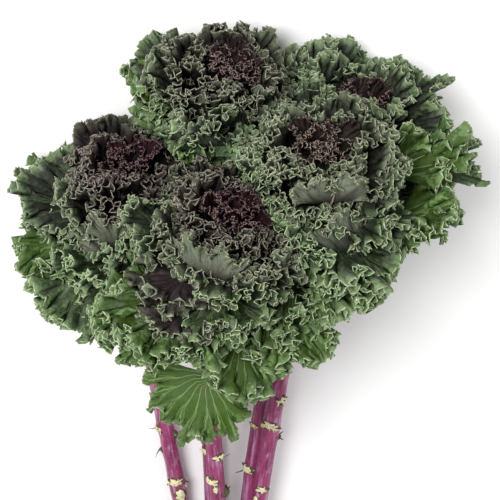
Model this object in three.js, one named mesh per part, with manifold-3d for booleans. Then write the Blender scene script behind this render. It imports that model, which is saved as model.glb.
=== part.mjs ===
// A bunch of five cut ornamental kale stems, lying on a flat surface.
// Each stem carries a rosette: ruffled green leaves in a rising spiral round a purple heart.
// Millimetres, +Z up, the stems run along +Y towards the rosettes, and the surface is z = 0.
import * as THREE from "three";
import { mergeVertices } from "three/addons/utils/BufferGeometryUtils.js";
import Module from "manifold-3d";

const wasm = await Module();
wasm.setup();

// ---------- driving dimensions ----------

const STEM_RADIUS = 5.6;
const STEM_SIDES = 8;
const STEM_STEPS = 7;
const STEM_EASE = 0.36; // how far along a stem its two ends still steer its curve
const STALK_LENGTH = 84; // the leafy top of a stem, from its lowest leaf to the heart
const TOUCHING_GAP = 0.3; // between two pieces that meet
const SLIVER = 0.03; // an edge that moves a surface by less than this is dropped

const SCARS_PER_STEM = 4; // knobs where lower leaves were broken off
const SCAR_RISE = 1.8; // of a knob above its stem
const SCAR_ROOT = 2.2; // of a knob below the stem's surface
const SCAR_RADII = [3.4, 2.2];

const OUTER_LEAVES = 4; // the lowest leaves, on a petiole of their own and with more ruffles
const BLADE_THICKNESS = 1.0;
const BLADE_ROWS = [0.62, 1]; // of the way out to the rim, where a blade has its rows of points
const FRILL_REACH = 5; // a blade reaches this much further, as its fine frills do
const CALM = 0.12; // the share of a ruffle's height that reaches the inner row
const OLD_RUFFLE = 8; // how far an old leaf's rim swings to either side
const YOUNG_RUFFLE = 5;
const LARGEST_TWIST = 0.3; // how far a leaf may lean over to one side, as a slope
const PETIOLE_RADIUS = 2.0;
const PETIOLE_SIDES = 4;
const LEAF_ROOT_RADIUS = 4; // a leaf starts this far from the stalk's middle
const LEAST_CUP = 16; // the tightest curve of a leaf across its width
const CUP = 1.2; // that curve's radius, as a share of the leaf's distance from the stalk
const GOLDEN_ANGLE = Math.PI * (3 - Math.sqrt(5));

const HEART_LEAVES = 4;
const HEART_BASE = -8; // where the heart sits on the core, from the head's centre
const HEART_RADIUS = 13;
const CORE_SIDES = 8;

// Radius and height of the packed middle of a head.
const CORE_PROFILE = [
  [0, -STALK_LENGTH],
  [5, -STALK_LENGTH],
  [6, -68],
  [14, -52],
  [23, -38],
  [25, -26],
  [14, -16],
  [6, HEART_BASE - TOUCHING_GAP],
  [0, HEART_BASE - TOUCHING_GAP],
];

// Radius and height of the bud inside a heart.
const BUD_PROFILE = [
  [0, HEART_BASE],
  [5, HEART_BASE],
  [7, HEART_BASE + 5],
  [4.5, HEART_BASE + 10],
  [0, HEART_BASE + 12],
];

const MIDDLE_OF_HEAD = 0.45; // of the way down the stalk, where a head is widest
const WALL_GAP = 0.9; // from a leaf's middle surface to the wall it leans on
const WALL_SOFTNESS = [4, 1]; // how gently leaves bend at a wall, first and again at its corners
const WALL_SHIFT = 0.02; // of the way between two heads, for each step of rank
const WALL_TILT = 0.1; // how far the upper of two heads leans over the lower one
const STEM_TILT = 0.9; // how far its leaves lean over the lower one's stem
const STEM_CLEARANCE = 7.5; // from another stem's centreline to a leaf's wall
const FLOOR_PRESS = 5.5; // the lowest leaves are pressed this much into the surface, then cut flat

const BODY_COLOURS = { leaves: 0x4f7a48, heart: 0x4a1f33, stem: 0x8f3468 };

// A leaf placed by hand grows on the side "turn" of its stalk, in degrees, and "attach" along it.
// It leaves the stalk at the angle "lean" from the stalk's direction and ends at "tipLean".
// "spread" is half the angle of its fan, and "waves" is how many large ruffles it has.
const placed = (turn, attach, length, lean, tipLean, spread = 88, waves = 5) => ({
  turn,
  attach,
  length,
  lean,
  tipLean,
  spread,
  waves,
});

// Each head: its centre, the way its stalk points, where its stem was cut, and how its leaves grow.
// "rank" says who lies on top: a higher one takes more of the room between two heads.
// "drift" is how far the stem leans sideways and upwards where it was cut.
const HEADS = [
  {
    name: "front",
    centre: [-9, 155, 105],
    axis: [0.12, 0.91, 0.4],
    cut: [-24.6, -247, 16.2],
    drift: [30, 20],
    rank: 4,
    leaves: 14,
    size: 1.08,
    spin: 0.15,
    seed: 303,
    placed: [
      placed(86, -80, 80, 97, 162),
      placed(112, -72, 66, 70, 128),
      placed(150, -70, 60, 60, 104),
    ],
  },
  {
    name: "left",
    centre: [-69, 167, 62],
    axis: [0, 0.94, 0.33],
    cut: [-31.2, -243, 5.4],
    drift: [-34, 8],
    rank: 2,
    leaves: 12,
    size: 1.05,
    spin: 4.84,
    seed: 219,
    placed: [
      placed(22, -62, 72, 50, 104),
      placed(48, -74, 70, 60, 116),
      placed(112, -66, 70, 44, 100),
    ],
  },
  {
    name: "right",
    centre: [38, 192, 102],
    axis: [0.08, 0.9, 0.43],
    cut: [-12.2, -241, 16.2],
    drift: [35, 20],
    rank: 3,
    leaves: 11,
    size: 1.08,
    spin: 1.02,
    seed: 279,
    placed: [
      placed(200, -62, 98, 52, 58, 44, 4),
      placed(171, -80, 92, 50, 60, 40, 4),
      placed(60, -76, 82, 46, 112),
      placed(110, -70, 78, 44, 104),
    ],
  },
  {
    name: "back_left",
    centre: [-11, 221, 53],
    axis: [0.12, 0.93, 0.36],
    cut: [-18.1, -249, 5.4],
    drift: [-33, 8],
    rank: 1,
    leaves: 10,
    size: 1.03,
    spin: 2.36,
    seed: 359,
    placed: [
      placed(350, -44, 62, 50, 100),
      placed(96, -66, 78, 44, 104),
    ],
  },
  {
    name: "back_right",
    centre: [60, 197, 48],
    axis: [0.3, 0.89, 0.34],
    cut: [-6.2, -250, 5.4],
    drift: [-14, 8],
    rank: 0,
    leaves: 9,
    size: 1.36,
    spin: 1.49,
    seed: 254,
    placed: [
      placed(176, -64, 84, 40, 70),
    ],
  },
];

const ORIGIN_SHIFT = [2.1, 2.1, 0]; // puts the origin under the middle of the bunch's box

// ---------- small tools ----------

const { degToRad, smoothstep } = THREE.MathUtils;
const vec = (x, y, z) => new THREE.Vector3(x, y, z);
const mix = (a, b, t) => a + (b - a) * t;
const toward = (point, direction, distance) => point.clone().addScaledVector(direction, distance);

// A repeatable random number from 0 to 1.
function seededRandom(seed) {
  let state = seed >>> 0;
  return () => {
    state = (Math.imul(state, 1664525) + 1013904223) >>> 0;
    return state / 4294967296;
  };
}

// A profile turned round a head's axis, with its zero height at the head's centre.
function latheOnAxis(head, profile, sides) {
  const outline = profile.map(([radius, height]) => new THREE.Vector2(radius, height));
  const third = head.level.clone().cross(head.axis);
  const basis = new THREE.Matrix4().makeBasis(head.level, head.axis, third);
  return new THREE.LatheGeometry(outline, sides).applyMatrix4(basis.setPosition(head.centre));
}

// A closed geometry as a solid that can be joined and cut.
function solidOf(geometry) {
  const bare = new THREE.BufferGeometry().setAttribute("position", geometry.getAttribute("position"));
  if (geometry.index) bare.setIndex(geometry.index);
  const merged = mergeVertices(bare, 1e-4);
  return new wasm.Manifold(
    new wasm.Mesh({
      numProp: 3,
      vertProperties: new Float32Array(merged.getAttribute("position").array),
      triVerts: new Uint32Array(merged.index.array),
    }),
  );
}

// The solid's outermost body as a geometry: a scrap that a cut sets loose is dropped, and so are
// the slivers of triangle that joining leaves along two blades' crossing. A hollow is filled.
function geometryOf(solid) {
  const bodies = solid.simplify(SLIVER).decompose().sort((a, b) => b.volume() - a.volume());
  const mesh = bodies[0].getMesh();
  return new THREE.BufferGeometry()
    .setAttribute("position", new THREE.BufferAttribute(new Float32Array(mesh.vertProperties), 3))
    .setIndex(new THREE.BufferAttribute(new Uint32Array(mesh.triVerts), 1));
}

const joined = (solids) => solids.reduce((all, solid) => all.add(solid));

// A cylinder, cone or prism from one point to another.
function rod(from, to, startRadius, endRadius, sides) {
  const geometry = new THREE.CylinderGeometry(endRadius, startRadius, from.distanceTo(to), sides, 1);
  const turn = new THREE.Quaternion().setFromUnitVectors(vec(0, 1, 0), to.clone().sub(from).normalize());
  const middle = from.clone().add(to).multiplyScalar(0.5);
  return solidOf(geometry.applyQuaternion(turn).translate(middle.x, middle.y, middle.z));
}

// ---------- where each head may grow ----------

// Two directions across an axis; the first is level.
function across(axis) {
  const level = vec(0, 0, 1).cross(axis).normalize();
  return [level, axis.clone().cross(level).normalize()];
}

// A stem's curve, from its cut end to its head's foot. It stays above the surface.
function stemCurve(head) {
  const reach = STEM_EASE * head.foot.distanceTo(head.cut);
  const along = vec(head.drift[0], 300, head.drift[1]).normalize();
  const droop = Math.min(reach, (head.foot.z - STEM_RADIUS - 4) / head.axis.z);
  return new THREE.CubicBezierCurve3(
    head.cut,
    toward(head.cut, along, reach),
    toward(head.foot, head.axis, -droop),
    toward(head.foot, head.axis, -TOUCHING_GAP),
  );
}

for (const head of HEADS) {
  head.centre = vec(...head.centre);
  head.axis = vec(...head.axis).normalize();
  head.cut = vec(...head.cut);
  head.foot = toward(head.centre, head.axis, -STALK_LENGTH);
  head.middle = toward(head.centre, head.axis, -MIDDLE_OF_HEAD * STALK_LENGTH);
  [head.level, head.upward] = across(head.axis);
  head.curve = stemCurve(head);
}

// A wall that a head's leaves lean on: a point on it, and the way back to the head.
function wallBetween(head, other) {
  const axis = head.axis.clone().add(other.axis).normalize();
  const inward = head.middle.clone().sub(other.middle);
  inward.addScaledVector(axis, -0.5 * inward.dot(axis)).normalize();
  inward.z += Math.sign(head.rank - other.rank) * WALL_TILT;
  const share = 0.5 + (head.rank - other.rank) * WALL_SHIFT;
  return { point: head.middle.clone().lerp(other.middle, share), inward: inward.normalize() };
}

// A wall just clear of another head's stem, along that stem. The upper of two heads lies over it.
function wallAtStem(head, other) {
  const start = other.curve.getPoint(0.45);
  const direction = other.foot.clone().sub(start).normalize();
  const offset = head.foot.clone().sub(start);
  offset.addScaledVector(direction, -offset.dot(direction)).normalize();
  if (head.rank > other.rank) offset.z += STEM_TILT;
  const inward = offset.addScaledVector(direction, -offset.dot(direction)).normalize();
  return { point: toward(start, inward, STEM_CLEARANCE), inward };
}

const FLOOR = { point: vec(0, 0, -FLOOR_PRESS), inward: vec(0, 0, 1) };

for (const head of HEADS) {
  const others = HEADS.filter((other) => other !== head);
  head.walls = [
    ...others.map((other) => wallAtStem(head, other)),
    ...others.map((other) => wallBetween(head, other)),
    FLOOR,
  ];
}

const depthInside = (wall, point) => point.clone().sub(wall.point).dot(wall.inward);

// Bends a point back from every wall. Points keep their order, so layers of leaf stay layers.
function leanOnWalls(head, point) {
  for (const softness of WALL_SOFTNESS)
    for (const wall of head.walls) {
      const depth = depthInside(wall, point);
      const kept = WALL_GAP + softness * Math.log1p(Math.exp((depth - WALL_GAP) / softness));
      if (depth < 8 * softness) point.addScaledVector(wall.inward, kept - depth);
    }
  return point;
}

// Opens round the heart, so that no leaf grows through it.
function openRoundHeart(head, point) {
  const offset = point.clone().sub(head.centre);
  const height = offset.dot(head.axis);
  const radial = offset.addScaledVector(head.axis, -height);
  const distance = Math.max(radial.length(), 1e-3);
  const rise = smoothstep(height, HEART_BASE - 14, HEART_BASE + 2);
  const least = (HEART_RADIUS + 2) * rise;
  const kept = Math.sqrt(distance * distance + least * least);
  return point.addScaledVector(radial, (kept - distance) / distance);
}

// ---------- one leaf ----------

// The sizes of a leaf by its age: 0 is the lowest and oldest, 1 the youngest.
function leafOf(head, index, random) {
  const age = index / (head.leaves - 1);
  const length = head.size * mix(80, 38, age ** 1.6) * mix(0.88, 1.1, random());
  const stalk = length * mix(0.45, 0.2, age);
  return {
    turn: head.spin + index * GOLDEN_ANGLE + mix(-0.18, 0.18, random()),
    attach: mix(-STALK_LENGTH + 5, -28, age),
    length,
    stalk,
    fan: length - stalk,
    spread: degToRad(mix(92, 56, age)),
    lean: degToRad(mix(60, 12, age ** 0.8)) * mix(0.88, 1.12, random()),
    tipLean: degToRad(mix(114, 34, age ** 0.75)) * mix(0.88, 1.12, random()),
    twist: mix(-LARGEST_TWIST, LARGEST_TWIST, random()),
    ruffle: mix(OLD_RUFFLE, YOUNG_RUFFLE, age),
    waves: index < OUTER_LEAVES ? 5 : 3,
    frillReach: FRILL_REACH,
    rows: BLADE_ROWS,
  };
}

// A leaf placed by hand: a large old one that hangs, or one that stands like a funnel.
function placedLeaf({ turn, attach, length, lean, tipLean, spread, waves }) {
  const stalk = length * 0.48;
  return {
    turn: degToRad(turn),
    attach,
    length,
    stalk,
    fan: length - stalk,
    spread: degToRad(spread),
    lean: degToRad(lean),
    tipLean: degToRad(tipLean),
    twist: 0,
    ruffle: waves > 3 ? OLD_RUFFLE : YOUNG_RUFFLE,
    waves,
    frillReach: FRILL_REACH,
    rows: BLADE_ROWS,
  };
}

// A leaf's midrib is an arc: its radius, height and lean at a length along it.
function midribAt(leaf, y) {
  const bend = (leaf.tipLean - leaf.lean) / leaf.length;
  const lean = leaf.lean + bend * y;
  const radius = LEAF_ROOT_RADIUS + (Math.cos(leaf.lean) - Math.cos(lean)) / bend;
  const height = leaf.attach + (Math.sin(lean) - Math.sin(leaf.lean)) / bend;
  return { radius, height, lean };
}

// The point of a leaf at x across and y along its flat outline, lifted off its middle surface.
// Across its width a leaf curves round the head, so older leaves lie outside younger ones.
function leafPoint(head, leaf, x, y, offset) {
  const lift = offset + leaf.twist * x;
  const { radius, height, lean } = midribAt(leaf, y);
  const curve = Math.max(LEAST_CUP, CUP * midribAt(leaf, leaf.stalk + 0.5 * leaf.fan).radius);
  const roll = x / curve;
  const outward = radius - curve * (1 - Math.cos(roll)) - lift * Math.cos(lean) * Math.cos(roll);
  const sideways = curve * Math.sin(roll) - lift * Math.cos(lean) * Math.sin(roll);
  const out = head.level.clone().multiplyScalar(Math.cos(leaf.turn));
  out.addScaledVector(head.upward, Math.sin(leaf.turn));
  return head.centre
    .clone()
    .addScaledVector(head.axis, height + lift * Math.sin(lean))
    .addScaledVector(out, outward)
    .addScaledVector(head.axis.clone().cross(out), sideways);
}

// The fan's outline: its radius at an angle from the midrib.
const fanRadius = (leaf, angle) =>
  (leaf.fan + leaf.frillReach) * (1 - 0.3 * Math.abs(angle / leaf.spread) ** 3);

// A fan: a calm inner row, where it has one, and a ruffled rim.
function bladeSolid(leaf, place) {
  const columns = leaf.waves * 2;
  const middle = [place(0, leaf.stalk, 0)];
  for (const share of leaf.rows)
    for (let column = 0; column <= columns; column++) {
      const angle = leaf.spread * ((2 * column) / columns - 1);
      const reach = fanRadius(leaf, angle) * share;
      const crest = column % 2 ? 1 : -1;
      const lift = leaf.ruffle * crest * (share === 1 ? 1 : CALM);
      middle.push(place(reach * Math.sin(angle), leaf.stalk + reach * Math.cos(angle), lift));
    }
  const at = (row, column) => 1 + row * (columns + 1) + column;
  const last = leaf.rows.length - 1;
  const faces = [];
  for (let column = 0; column < columns; column++) {
    faces.push([0, at(0, column + 1), at(0, column)]);
    for (let row = 0; row < last; row++) {
      const near = [at(row, column), at(row, column + 1)];
      const far = [at(row + 1, column), at(row + 1, column + 1)];
      faces.push([near[0], near[1], far[1]], [near[0], far[1], far[0]]);
    }
  }
  const rim = [0];
  for (let row = 0; row < last; row++) rim.push(at(row, 0));
  for (let column = 0; column <= columns; column++) rim.push(at(last, column));
  for (let row = last - 1; row >= 0; row--) rim.push(at(row, columns));
  return thickened(middle, faces, rim, BLADE_THICKNESS);
}

// Gives a sheet of triangles its thickness along its own normals and closes its rim.
function thickened(points, faces, rim, thickness) {
  const normals = points.map(() => vec(0, 0, 0));
  for (const [a, b, c] of faces) {
    const normal = points[b].clone().sub(points[a]).cross(points[c].clone().sub(points[a]));
    for (const corner of [a, b, c]) normals[corner].add(normal);
  }
  const half = thickness / 2;
  const upper = points.map((point, i) => toward(point, normals[i].normalize(), half));
  const lower = points.map((point, i) => toward(point, normals[i], -half));
  const count = points.length;
  const triangles = faces.flatMap(([a, b, c]) => [a, b, c, a + count, c + count, b + count]);
  const edges = new Set(faces.flatMap(([a, b, c]) => [`${a}_${b}`, `${b}_${c}`, `${c}_${a}`]));
  rim.forEach((a, i) => {
    const b = rim[(i + 1) % rim.length];
    const [from, to] = edges.has(`${a}_${b}`) ? [a, b] : [b, a];
    triangles.push(from + count, to + count, to, from + count, to, from);
  });
  const positions = [...upper, ...lower].flatMap((point) => point.toArray());
  const geometry = new THREE.BufferGeometry()
    .setAttribute("position", new THREE.BufferAttribute(new Float32Array(positions), 3))
    .setIndex(triangles);
  return solidOf(geometry);
}

// The petiole of an outer leaf, from inside the stalk into the blade.
function petioleSolid(head, leaf) {
  const [root, end] = [-2, leaf.stalk + leaf.fan * 0.15].map((y) =>
    leanOnWalls(head, leafPoint(head, leaf, 0, y, 0)),
  );
  return rod(root, end, PETIOLE_RADIUS * 1.3, PETIOLE_RADIUS * 0.7, PETIOLE_SIDES);
}

// The packed middle of a head, which the leaves stand out of.
function coreSolid(head) {
  const core = latheOnAxis(head, CORE_PROFILE, CORE_SIDES);
  const position = core.getAttribute("position");
  for (let i = 0; i < position.count; i++) {
    const point = leanOnWalls(head, vec().fromBufferAttribute(position, i));
    position.setXYZ(i, point.x, point.y, point.z);
  }
  return solidOf(core);
}

// ---------- the bodies of one stem ----------

function leavesSolid(head) {
  const random = seededRandom(head.seed);
  const grown = Array.from({ length: head.leaves }, (_, index) => leafOf(head, index, random));
  const placedByHand = head.placed.map(placedLeaf);
  const stalked = [...grown.slice(0, OUTER_LEAVES), ...placedByHand];
  const placeIn = (leaf) => (x, y, lift) =>
    leanOnWalls(head, openRoundHeart(head, leafPoint(head, leaf, x, y, lift)));
  return joined([
    coreSolid(head),
    ...[...grown, ...placedByHand].map((leaf) => bladeSolid(leaf, placeIn(leaf))),
    ...stalked.map((leaf) => petioleSolid(head, leaf)),
  ]);
}

// The heart: small upright leaves close together round a bud.
function heartSolid(head) {
  const solids = [solidOf(latheOnAxis(head, BUD_PROFILE, CORE_SIDES))];
  for (let index = 0; index < HEART_LEAVES; index++) solids.push(heartBlade(head, index));
  return joined(solids);
}

function heartBlade(head, index) {
  const age = index / (HEART_LEAVES - 1);
  const length = mix(17, 12, age);
  const leaf = {
    turn: head.spin + index * GOLDEN_ANGLE,
    attach: HEART_BASE + mix(2, 5, age),
    length,
    stalk: length * 0.1,
    fan: length * 0.9,
    spread: degToRad(52),
    lean: degToRad(mix(20, 4, age)),
    tipLean: degToRad(mix(44, 14, age)),
    twist: 0,
    ruffle: 1.4,
    waves: 2,
    frillReach: 0,
    rows: [1],
  };
  return bladeSolid(leaf, (x, y, lift) => leafPoint(head, leaf, x, y, lift));
}

// A stem is a prism along its curve, with the scars of the leaves that were broken off.
function stemSolid(head) {
  const random = seededRandom(head.seed + 1);
  const outline = new THREE.Shape();
  for (let side = 0; side < STEM_SIDES; side++) {
    const angle = (side / STEM_SIDES) * 2 * Math.PI;
    const point = [STEM_RADIUS * Math.cos(angle), STEM_RADIUS * Math.sin(angle)];
    if (side === 0) outline.moveTo(...point);
    else outline.lineTo(...point);
  }
  outline.closePath();
  const tube = new THREE.ExtrudeGeometry(outline, { steps: STEM_STEPS, extrudePath: head.curve });
  const solids = [solidOf(tube)];
  for (let index = 0; index < SCARS_PER_STEM; index++) {
    const along = mix(0.5, 0.97, (index + 0.6 * random()) / SCARS_PER_STEM);
    const turn = index * GOLDEN_ANGLE + head.spin;
    const centre = head.curve.getPoint(along);
    const forward = head.curve.getTangent(along);
    const [level, upward] = across(forward);
    const out = level.multiplyScalar(Math.cos(turn)).addScaledVector(upward, Math.sin(turn));
    const heel = toward(centre, out, STEM_RADIUS - SCAR_ROOT);
    const lip = toward(toward(centre, out, STEM_RADIUS + SCAR_RISE), forward, SCAR_RISE);
    solids.push(rod(heel, lip, ...SCAR_RADII, 4));
  }
  return joined(solids);
}

// ---------- the bunch ----------

const bunch = new THREE.Group();
bunch.position.set(...ORIGIN_SHIFT);

// Everything above the surface: what is pressed into the surface is cut flat by it.
const aboveSurface = solidOf(new THREE.BoxGeometry(900, 900, 400).translate(0, 0, 200));

function addPiece(head, part, solid) {
  const material = new THREE.MeshStandardMaterial({
    color: BODY_COLOURS[part],
    roughness: 0.6,
    metalness: 0,
  });
  const mesh = new THREE.Mesh(geometryOf(solid.intersect(aboveSurface)), material);
  mesh.name = `${head.name}_${part}`;
  bunch.add(mesh);
}

for (const head of HEADS) {
  addPiece(head, "stem", stemSolid(head));
  addPiece(head, "leaves", leavesSolid(head));
  addPiece(head, "heart", heartSolid(head));
}

export default bunch;
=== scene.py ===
"""The looks of a bunch of five cut ornamental kale stems, laid on a flat surface.

Each stem carries a rosette of frilled leaves round a dark purple heart. Shapes are worked out in
millimetres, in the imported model's own frame, and become metres when a mesh is made.
"""
import logging
import math
from collections.abc import Callable
from dataclasses import dataclass, field
from enum import Enum
from functools import lru_cache

import bpy
import numpy as np
from mathutils import Matrix, Vector


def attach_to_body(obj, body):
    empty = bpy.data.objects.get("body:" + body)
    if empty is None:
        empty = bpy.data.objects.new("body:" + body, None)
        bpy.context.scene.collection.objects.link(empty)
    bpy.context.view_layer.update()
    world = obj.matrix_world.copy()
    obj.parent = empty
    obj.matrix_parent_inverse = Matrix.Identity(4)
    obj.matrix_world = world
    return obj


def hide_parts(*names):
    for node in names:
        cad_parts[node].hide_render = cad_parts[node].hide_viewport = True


LOG = logging.getLogger("kale")

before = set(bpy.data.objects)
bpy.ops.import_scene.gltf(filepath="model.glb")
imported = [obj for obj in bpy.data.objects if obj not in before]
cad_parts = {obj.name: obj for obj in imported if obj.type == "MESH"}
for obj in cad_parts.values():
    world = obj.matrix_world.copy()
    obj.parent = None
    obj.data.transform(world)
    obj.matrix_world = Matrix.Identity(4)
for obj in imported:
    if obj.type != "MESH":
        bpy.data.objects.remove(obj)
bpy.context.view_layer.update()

MM = 0.001
PATTERN = "Leaf"  # the pattern coordinates of leaves and stems
GROWTH = "growth"  # the leaves' colours and their painted shade: way in from the rim, purple, tint, and not a funnel

# ---------- driving dimensions, in millimetres and radians ----------

ORIGIN_SHIFT = (2.1, 2.1, 0.0)  # from the growers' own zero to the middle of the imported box
GOLDEN_ANGLE = math.pi * (3 - math.sqrt(5))

STEM_RADIUS = 5.6
STEM_EASE = 0.36  # how far along a stem its two ends still steer its curve
DRIFT_RUN = 300.0  # how far forward a stem goes while it drifts sideways and up from its cut end
BEND_CLEARANCE = 4.0  # from the floor up to a stem, where it bends up to its head
FOOT_GAP = 0.3  # from the end of a stem's free part to its lowest leaf
STALK_LENGTH = 84.0  # the leafy top of a stem, from its lowest leaf to the heart
STALK_SHARE = 0.1  # how much further a stem runs up inside its head, as a share of its parameter
STALK_RUN = 400.0  # the length there of one whole parameter
MIDDLE_OF_HEAD = 0.45  # of the way down the stalk, where a head is widest

LEAF_ROOT_RADIUS = 4.0  # a leaf starts this far from the stalk's middle
LEAST_CUP = 16.0  # the tightest curve of a leaf across its width
CUP = 1.2  # that curve's radius, as a share of the leaf's distance from the stalk
SIDE_SHORTENING = 0.3  # how much shorter a fan is at its sides than along its midrib
HEART_BASE = -8.0  # where the heart sits, from the head's centre
HEART_RADIUS = 13.0
HEART_CLEARANCE = 2.0  # round the heart and above its base
HEART_APPROACH = 14.0  # how far under its base the leaves begin to open round it

WALL_GAP = 0.9  # from a leaf's middle surface to the wall it leans on
WALL_SOFTNESS = (4.0, 1.0)  # of a wall in each of two rounds of bending
WALL_REACH = 8.0  # how many times its softness a wall is felt
WALL_TURN = 0.5  # how far a wall between two heads turns to run along them
WALL_SHIFT = 0.02  # towards the head that lies lower, as a share of the way between the heads
WALL_TILT = 0.1  # how far such a wall leans over the head that lies lower
STEM_WALL_START = 0.45  # the share of a stem's way from where leaves are kept off it
STEM_TILT = 0.9  # how much more upwards a head that lies higher is kept off a stem
STEM_CLEARANCE = 7.5
FLOOR_PRESS = 5.5  # how far under the floor the wall lies that bends leaves up from it
FLOOR_GAP = 0.5  # the lowest that a leaf's surface may come
FLOOR_SOFTNESS = 0.8

LEAF_THICKNESS = 0.42
# The way out to a leaf's rim, row by row, and how many rim columns share one column there.
ROWS = (0.0, 0.22, 0.42, 0.58, 0.7, 0.8, 0.88, 0.95, 1.0)
ROW_STRIDES = (8, 8, 8, 8, 4, 4, 2, 2, 1)
COLUMNS_PER_WAVE = 9.0
FEWEST_COLUMNS = 64
MOST_COLUMNS = 720

LOBE_DEPTH = 0.08  # of the broad lobes of a rim, as a share of the fan
LOBES_PER_RUFFLE = 1.4
NOTCH_DEPTH = 0.035  # of the notches between them
NOTCH_WIDTH = 9.0
TOOTH_DEPTH = 1.0  # of the rim's small rounded teeth
TOOTH_WIDTH = 2.7
TOOTH_PATCH = 7.0  # the length of a stretch of deeper or shallower teeth
RUFFLE_RISE = 3.4  # how late on the way out a leaf's large ruffles rise
RUFFLE_FOLD = 0.22  # how far their flanks lean over, as a share of their height
FRILL_SPACING = 1.1  # how unevenly the waves of a frill follow each other
FRILL_SLANT = 0.7  # how far they slant on their way out to the rim
FRILL_SIZE = 0.84  # of a wave, on the average
FRILL_VARIETY = 0.46  # how far a wave's size departs from that
FRILL_LEAST, FRILL_MOST = 0.2, 1.5


class Growth(Enum):
    """How a leaf grows."""

    ROSETTE = "in the spiral of its head"
    HANGING = "placed by hand, an old leaf that hangs out"
    FUNNEL = "placed by hand, a leaf that stands like a funnel"
    HEART = "in the heart"


# How many times longer a rim is with its frills than without.
RIM_STRETCH = {Growth.ROSETTE: 2.2, Growth.HANGING: 2.2, Growth.FUNNEL: 2.2, Growth.HEART: 1.6}
# The radius of a leaf's rib at its root and at its tip.
RIB_RADII = {
    Growth.ROSETTE: (2.6, 0.35),
    Growth.HANGING: (3.0, 0.4),
    Growth.FUNNEL: (3.0, 0.4),
    Growth.HEART: (1.0, 0.2),
}

# ---------- small tools ----------


def mix(a: float, b: float, t: np.ndarray | float) -> np.ndarray | float:
    """Returns the value at share t of the way from a to b."""
    return a + (b - a) * t


def smoothstep(x: np.ndarray | float, low: float, high: float) -> np.ndarray:
    """Returns a smooth rise from 0 at low to 1 at high."""
    t = np.clip((np.asarray(x, float) - low) / (high - low), 0, 1)
    return t * t * (3 - 2 * t)


def unit(vector: np.ndarray) -> np.ndarray:
    """Returns vectors scaled to length one along their last axis."""
    length = np.linalg.norm(vector, axis=-1, keepdims=True)
    return vector / np.maximum(length, 1e-9)


def linear(red: int, green: int, blue: int) -> tuple[float, float, float, float]:
    """Turns a display colour of 0 to 255 into a linear one.

    Args:
        red: The red part.
        green: The green part.
        blue: The blue part.

    Returns:
        The linear colour with an alpha of one.
    """
    parts = [part / 255 for part in (red, green, blue)]
    scaled = [p / 12.92 if p <= 0.04045 else ((p + 0.055) / 1.055) ** 2.4 for p in parts]
    return (scaled[0], scaled[1], scaled[2], 1.0)


@dataclass
class Draws:
    """A repeatable row of random numbers."""

    seed: int
    state: int = field(init=False)

    def __post_init__(self) -> None:
        """Starts the row at its seed."""
        self.state = self.seed & 0xFFFFFFFF

    def next(self, low: float = 0.0, high: float = 1.0) -> float:
        """Returns the next number between low and high."""
        self.state = (self.state * 1664525 + 1013904223) & 0xFFFFFFFF
        return mix(low, high, self.state / 4294967296)

    def ripple(self, t: np.ndarray, cycles: float, parts: int = 4) -> np.ndarray:
        """Draws a smooth random line.

        Args:
            t: Where to read the line, from 0 to 1.
            cycles: About how many swings it makes in that length.
            parts: How many sine waves it is made of.

        Returns:
            Values of about -1 to 1.
        """
        total = np.zeros_like(t)
        for _ in range(parts):
            rate = cycles * self.next(0.6, 1.5)
            total += np.sin(2 * math.pi * (rate * t + self.next()))
        return total / math.sqrt(parts)


def across(axis: np.ndarray) -> tuple[np.ndarray, np.ndarray]:
    """Returns two directions across an axis, the first of them level."""
    level = unit(np.cross([0, 0, 1], axis))
    return level, unit(np.cross(axis, level))


def circle(sides: int) -> np.ndarray:
    """Returns the angles of the corners of a round with this many sides."""
    return np.arange(sides) * 2 * math.pi / sides


def tube_faces(rings: int, sides: int, turned: bool = False) -> list[tuple[int, ...]]:
    """Joins rings of points into a closed tube.

    Args:
        rings: How many rings there are.
        sides: How many points each ring has.
        turned: Whether the points of a ring run the other way round.

    Returns:
        The faces, by the places of their corners.
    """
    faces = []
    for row in range(rings - 1):
        for column in range(sides):
            a = row * sides + column
            b = row * sides + (column + 1) % sides
            face = (a, b, b + sides, a + sides)
            faces.append(face[:1] + face[:0:-1] if turned else face)
    first = tuple(range(sides))
    last = tuple(range((rings - 1) * sides, rings * sides))
    faces.append(first if turned else first[::-1])
    faces.append(last[::-1] if turned else last)
    return faces


# ---------- heads and the room each one has ----------


@dataclass
class Wall:
    """A plane that leaves lean on: a point of it and the way back to the head."""

    point: np.ndarray
    inward: np.ndarray

    def bend(self, points: np.ndarray, softness: float) -> np.ndarray:
        """Bends points back from the wall, keeping their order.

        Args:
            points: The points, three numbers each.
            softness: How far from the wall the bending starts to be felt.

        Returns:
            The bent points.
        """
        depth = (points - self.point) @ self.inward
        kept = WALL_GAP + softness * np.logaddexp(0, (depth - WALL_GAP) / softness)
        push = np.where(depth < WALL_REACH * softness, kept - depth, 0)
        return points + push[..., None] * self.inward


@dataclass(frozen=True)
class Placed:
    """A leaf placed one by one: degrees round the stalk, and millimetres along it.

    Attributes:
        turn: The side of the stalk that it grows on; 90 is the upper side.
        attach: Where it leaves the stalk, from the head's centre.
        length: Its length with its own stalk.
        lean: Its angle to the stalk where it starts.
        tip_lean: Its angle to the stalk at its tip.
        spread: Half the angle of its fan.
        waves: How many large ruffles it has.
        calm: Whether its frills stay small and close to the rim.
        growth: How it grows.
    """

    turn: float
    attach: float
    length: float
    lean: float
    tip_lean: float
    spread: float = 88.0
    waves: int = 5
    calm: bool = False
    growth: Growth = Growth.HANGING


def funnel(*sizes: float, spread: float = 62.0, calm: bool = True) -> Placed:
    """Returns a leaf that stands like a funnel, from the first five sizes of a placed leaf."""
    return Placed(*sizes, spread=spread, waves=3, calm=calm, growth=Growth.FUNNEL)


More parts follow.
